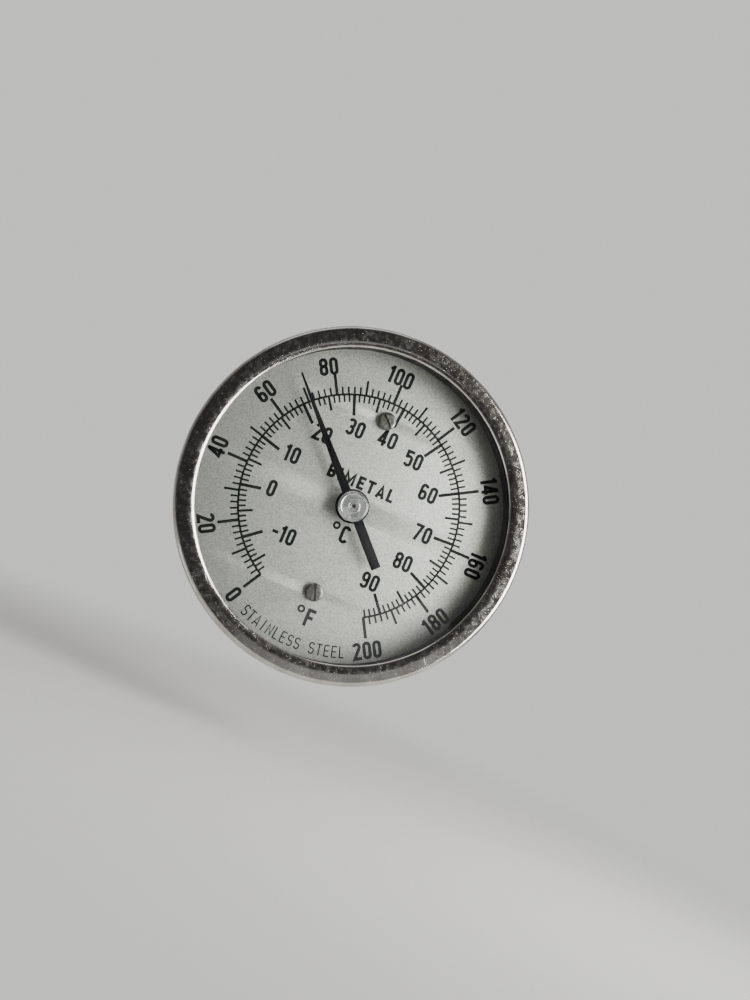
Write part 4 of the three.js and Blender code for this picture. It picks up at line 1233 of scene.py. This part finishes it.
def pale_floor():
    """A plain pale floor below the thermometer that fades out before its edge."""
    size, drop = 0.4, 62 * MM
    corner = np.array([(-1, -1, 0), (1, -1, 0), (1, 1, 0), (-1, 1, 0)]) * size + (0, 0, -drop)
    mesh = bpy.data.meshes.new("floor")
    mesh.from_pydata(corner.tolist(), [], [(0, 1, 2, 3)])
    floor = linked("floor", mesh)
    material, tree, shader = new_finish("pale_floor", Roughness=0.7)
    grain = placed(tree, GRAIN, Scale=900.0, Cloud_Scale=6.0)
    tree.links.new(colour_between(tree, grain["Grain"], (0.70, 0.70, 0.675), (0.76, 0.76, 0.735)),
                   shader.inputs["Base Color"])
    parts = add_node(tree, "ShaderNodeVectorMath", {0: object_place(tree)}, operation="LENGTH")
    clear = tree.nodes.new("ShaderNodeBsdfTransparent")
    mixed = tree.nodes.new("ShaderNodeMixShader")
    tree.links.new(between(tree, parts.outputs["Value"], 0.06, 0.24), mixed.inputs[0])
    tree.links.new(shader.outputs[0], mixed.inputs[1])
    tree.links.new(clear.outputs[0], mixed.inputs[2])
    tree.links.new(mixed.outputs[0], tree.nodes["Material Output"].inputs["Surface"])
    mesh.materials.append(material)


def softbox(name, right, up, towards, distance, width, height, power, colour=(1.0, 1.0, 1.0)):
    """An area lamp aimed at the dial from a direction given as the camera sees it."""
    lamp = bpy.data.lights.new(name, "AREA")
    lamp.shape = "RECTANGLE"
    lamp.size, lamp.size_y = width, height
    lamp.energy = power
    lamp.color = colour
    source = bpy.data.objects.new(name, lamp)
    bpy.context.scene.collection.objects.link(source)
    direction = (camera_right * right + camera_up * up + to_camera * towards).normalized()
    across = camera_up.cross(direction).normalized()
    place = dial_centre + direction * distance
    source.matrix_world = facing(place, direction, across, direction.cross(across))


def studio():
    """A pale room that is dim behind the camera, so that the polished rim mirrors something dark, with soft
    lamps to the reader's right, low on the left and above, and two faint panels for the rim to mirror."""
    world = bpy.data.worlds.new("studio")
    bpy.context.scene.world = world
    world.use_nodes = True
    tree = world.node_tree
    room = tree.nodes["Background"]
    seen = add_node(tree, "ShaderNodeBackground", {"Color": (0.80, 0.80, 0.765, 1.0), "Strength": 1.0})
    direction = tree.nodes.new("ShaderNodeTexCoord").outputs["Generated"]
    parts = add_node(tree, "ShaderNodeSeparateXYZ", {0: direction})
    level = between(tree, parts.outputs["Y"], -0.985, 0.0, 0.04, 0.36)
    level = sum_of(tree, "ADD", level, between(tree, parts.outputs["Y"], 0.1, 0.9, 0.0, 0.5))
    tree.links.new(colour_between(tree, level, (0.0, 0.0, 0.0), (1.0, 0.99, 0.96)), room.inputs["Color"])
    path = tree.nodes.new("ShaderNodeLightPath")
    mixed = tree.nodes.new("ShaderNodeMixShader")
    tree.links.new(path.outputs["Is Camera Ray"], mixed.inputs[0])
    tree.links.new(room.outputs[0], mixed.inputs[1])
    tree.links.new(seen.outputs[0], mixed.inputs[2])
    tree.links.new(mixed.outputs[0], tree.nodes["World Output"].inputs["Surface"])
    softbox("key_softbox", 0.85, -0.12, 0.52, 0.29, 0.2, 0.24, 2.1, (1.0, 0.985, 0.95))
    softbox("low_softbox", -0.72, -0.42, 0.42, 0.6, 0.4, 0.3, 2.1, (0.97, 0.98, 1.0))
    softbox("top_softbox", 0.1, 0.9, 0.25, 0.7, 0.6, 0.3, 0.6)
    softbox("rim_panel", 0.30, -0.15, 0.94, 0.8, 0.17, 0.09, 0.02)
    softbox("far_panel", 0.44, 0.12, 0.9, 0.8, 0.06, 0.12, 0.002, (1.0, 0.9, 0.75))


# ---------------------------------------------------------------- assembly

make_bezel()
make_window()
make_seal()
make_case()
make_fitting()
make_stem()
make_coil()
make_pointer()
make_hub()
make_shaft()
make_dial_plate()
make_print()
make_dial_screw("upper_dial_screw", "dial_screw_upper", math.radians(-45))
make_dial_screw("lower_dial_screw", "dial_screw_lower", math.radians(-24))
make_posts()
make_bushes()
make_wave_washer()
split_ring("carrier_ring", "carrier_retaining_ring", 4.5 * MM, (0.0, 0.0), "case")
make_reset_gear()

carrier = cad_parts["dial_carrier"]
carrier.data.materials.clear()
carrier.data.materials.append(GEAR_BRASS)

pale_floor()
studio()
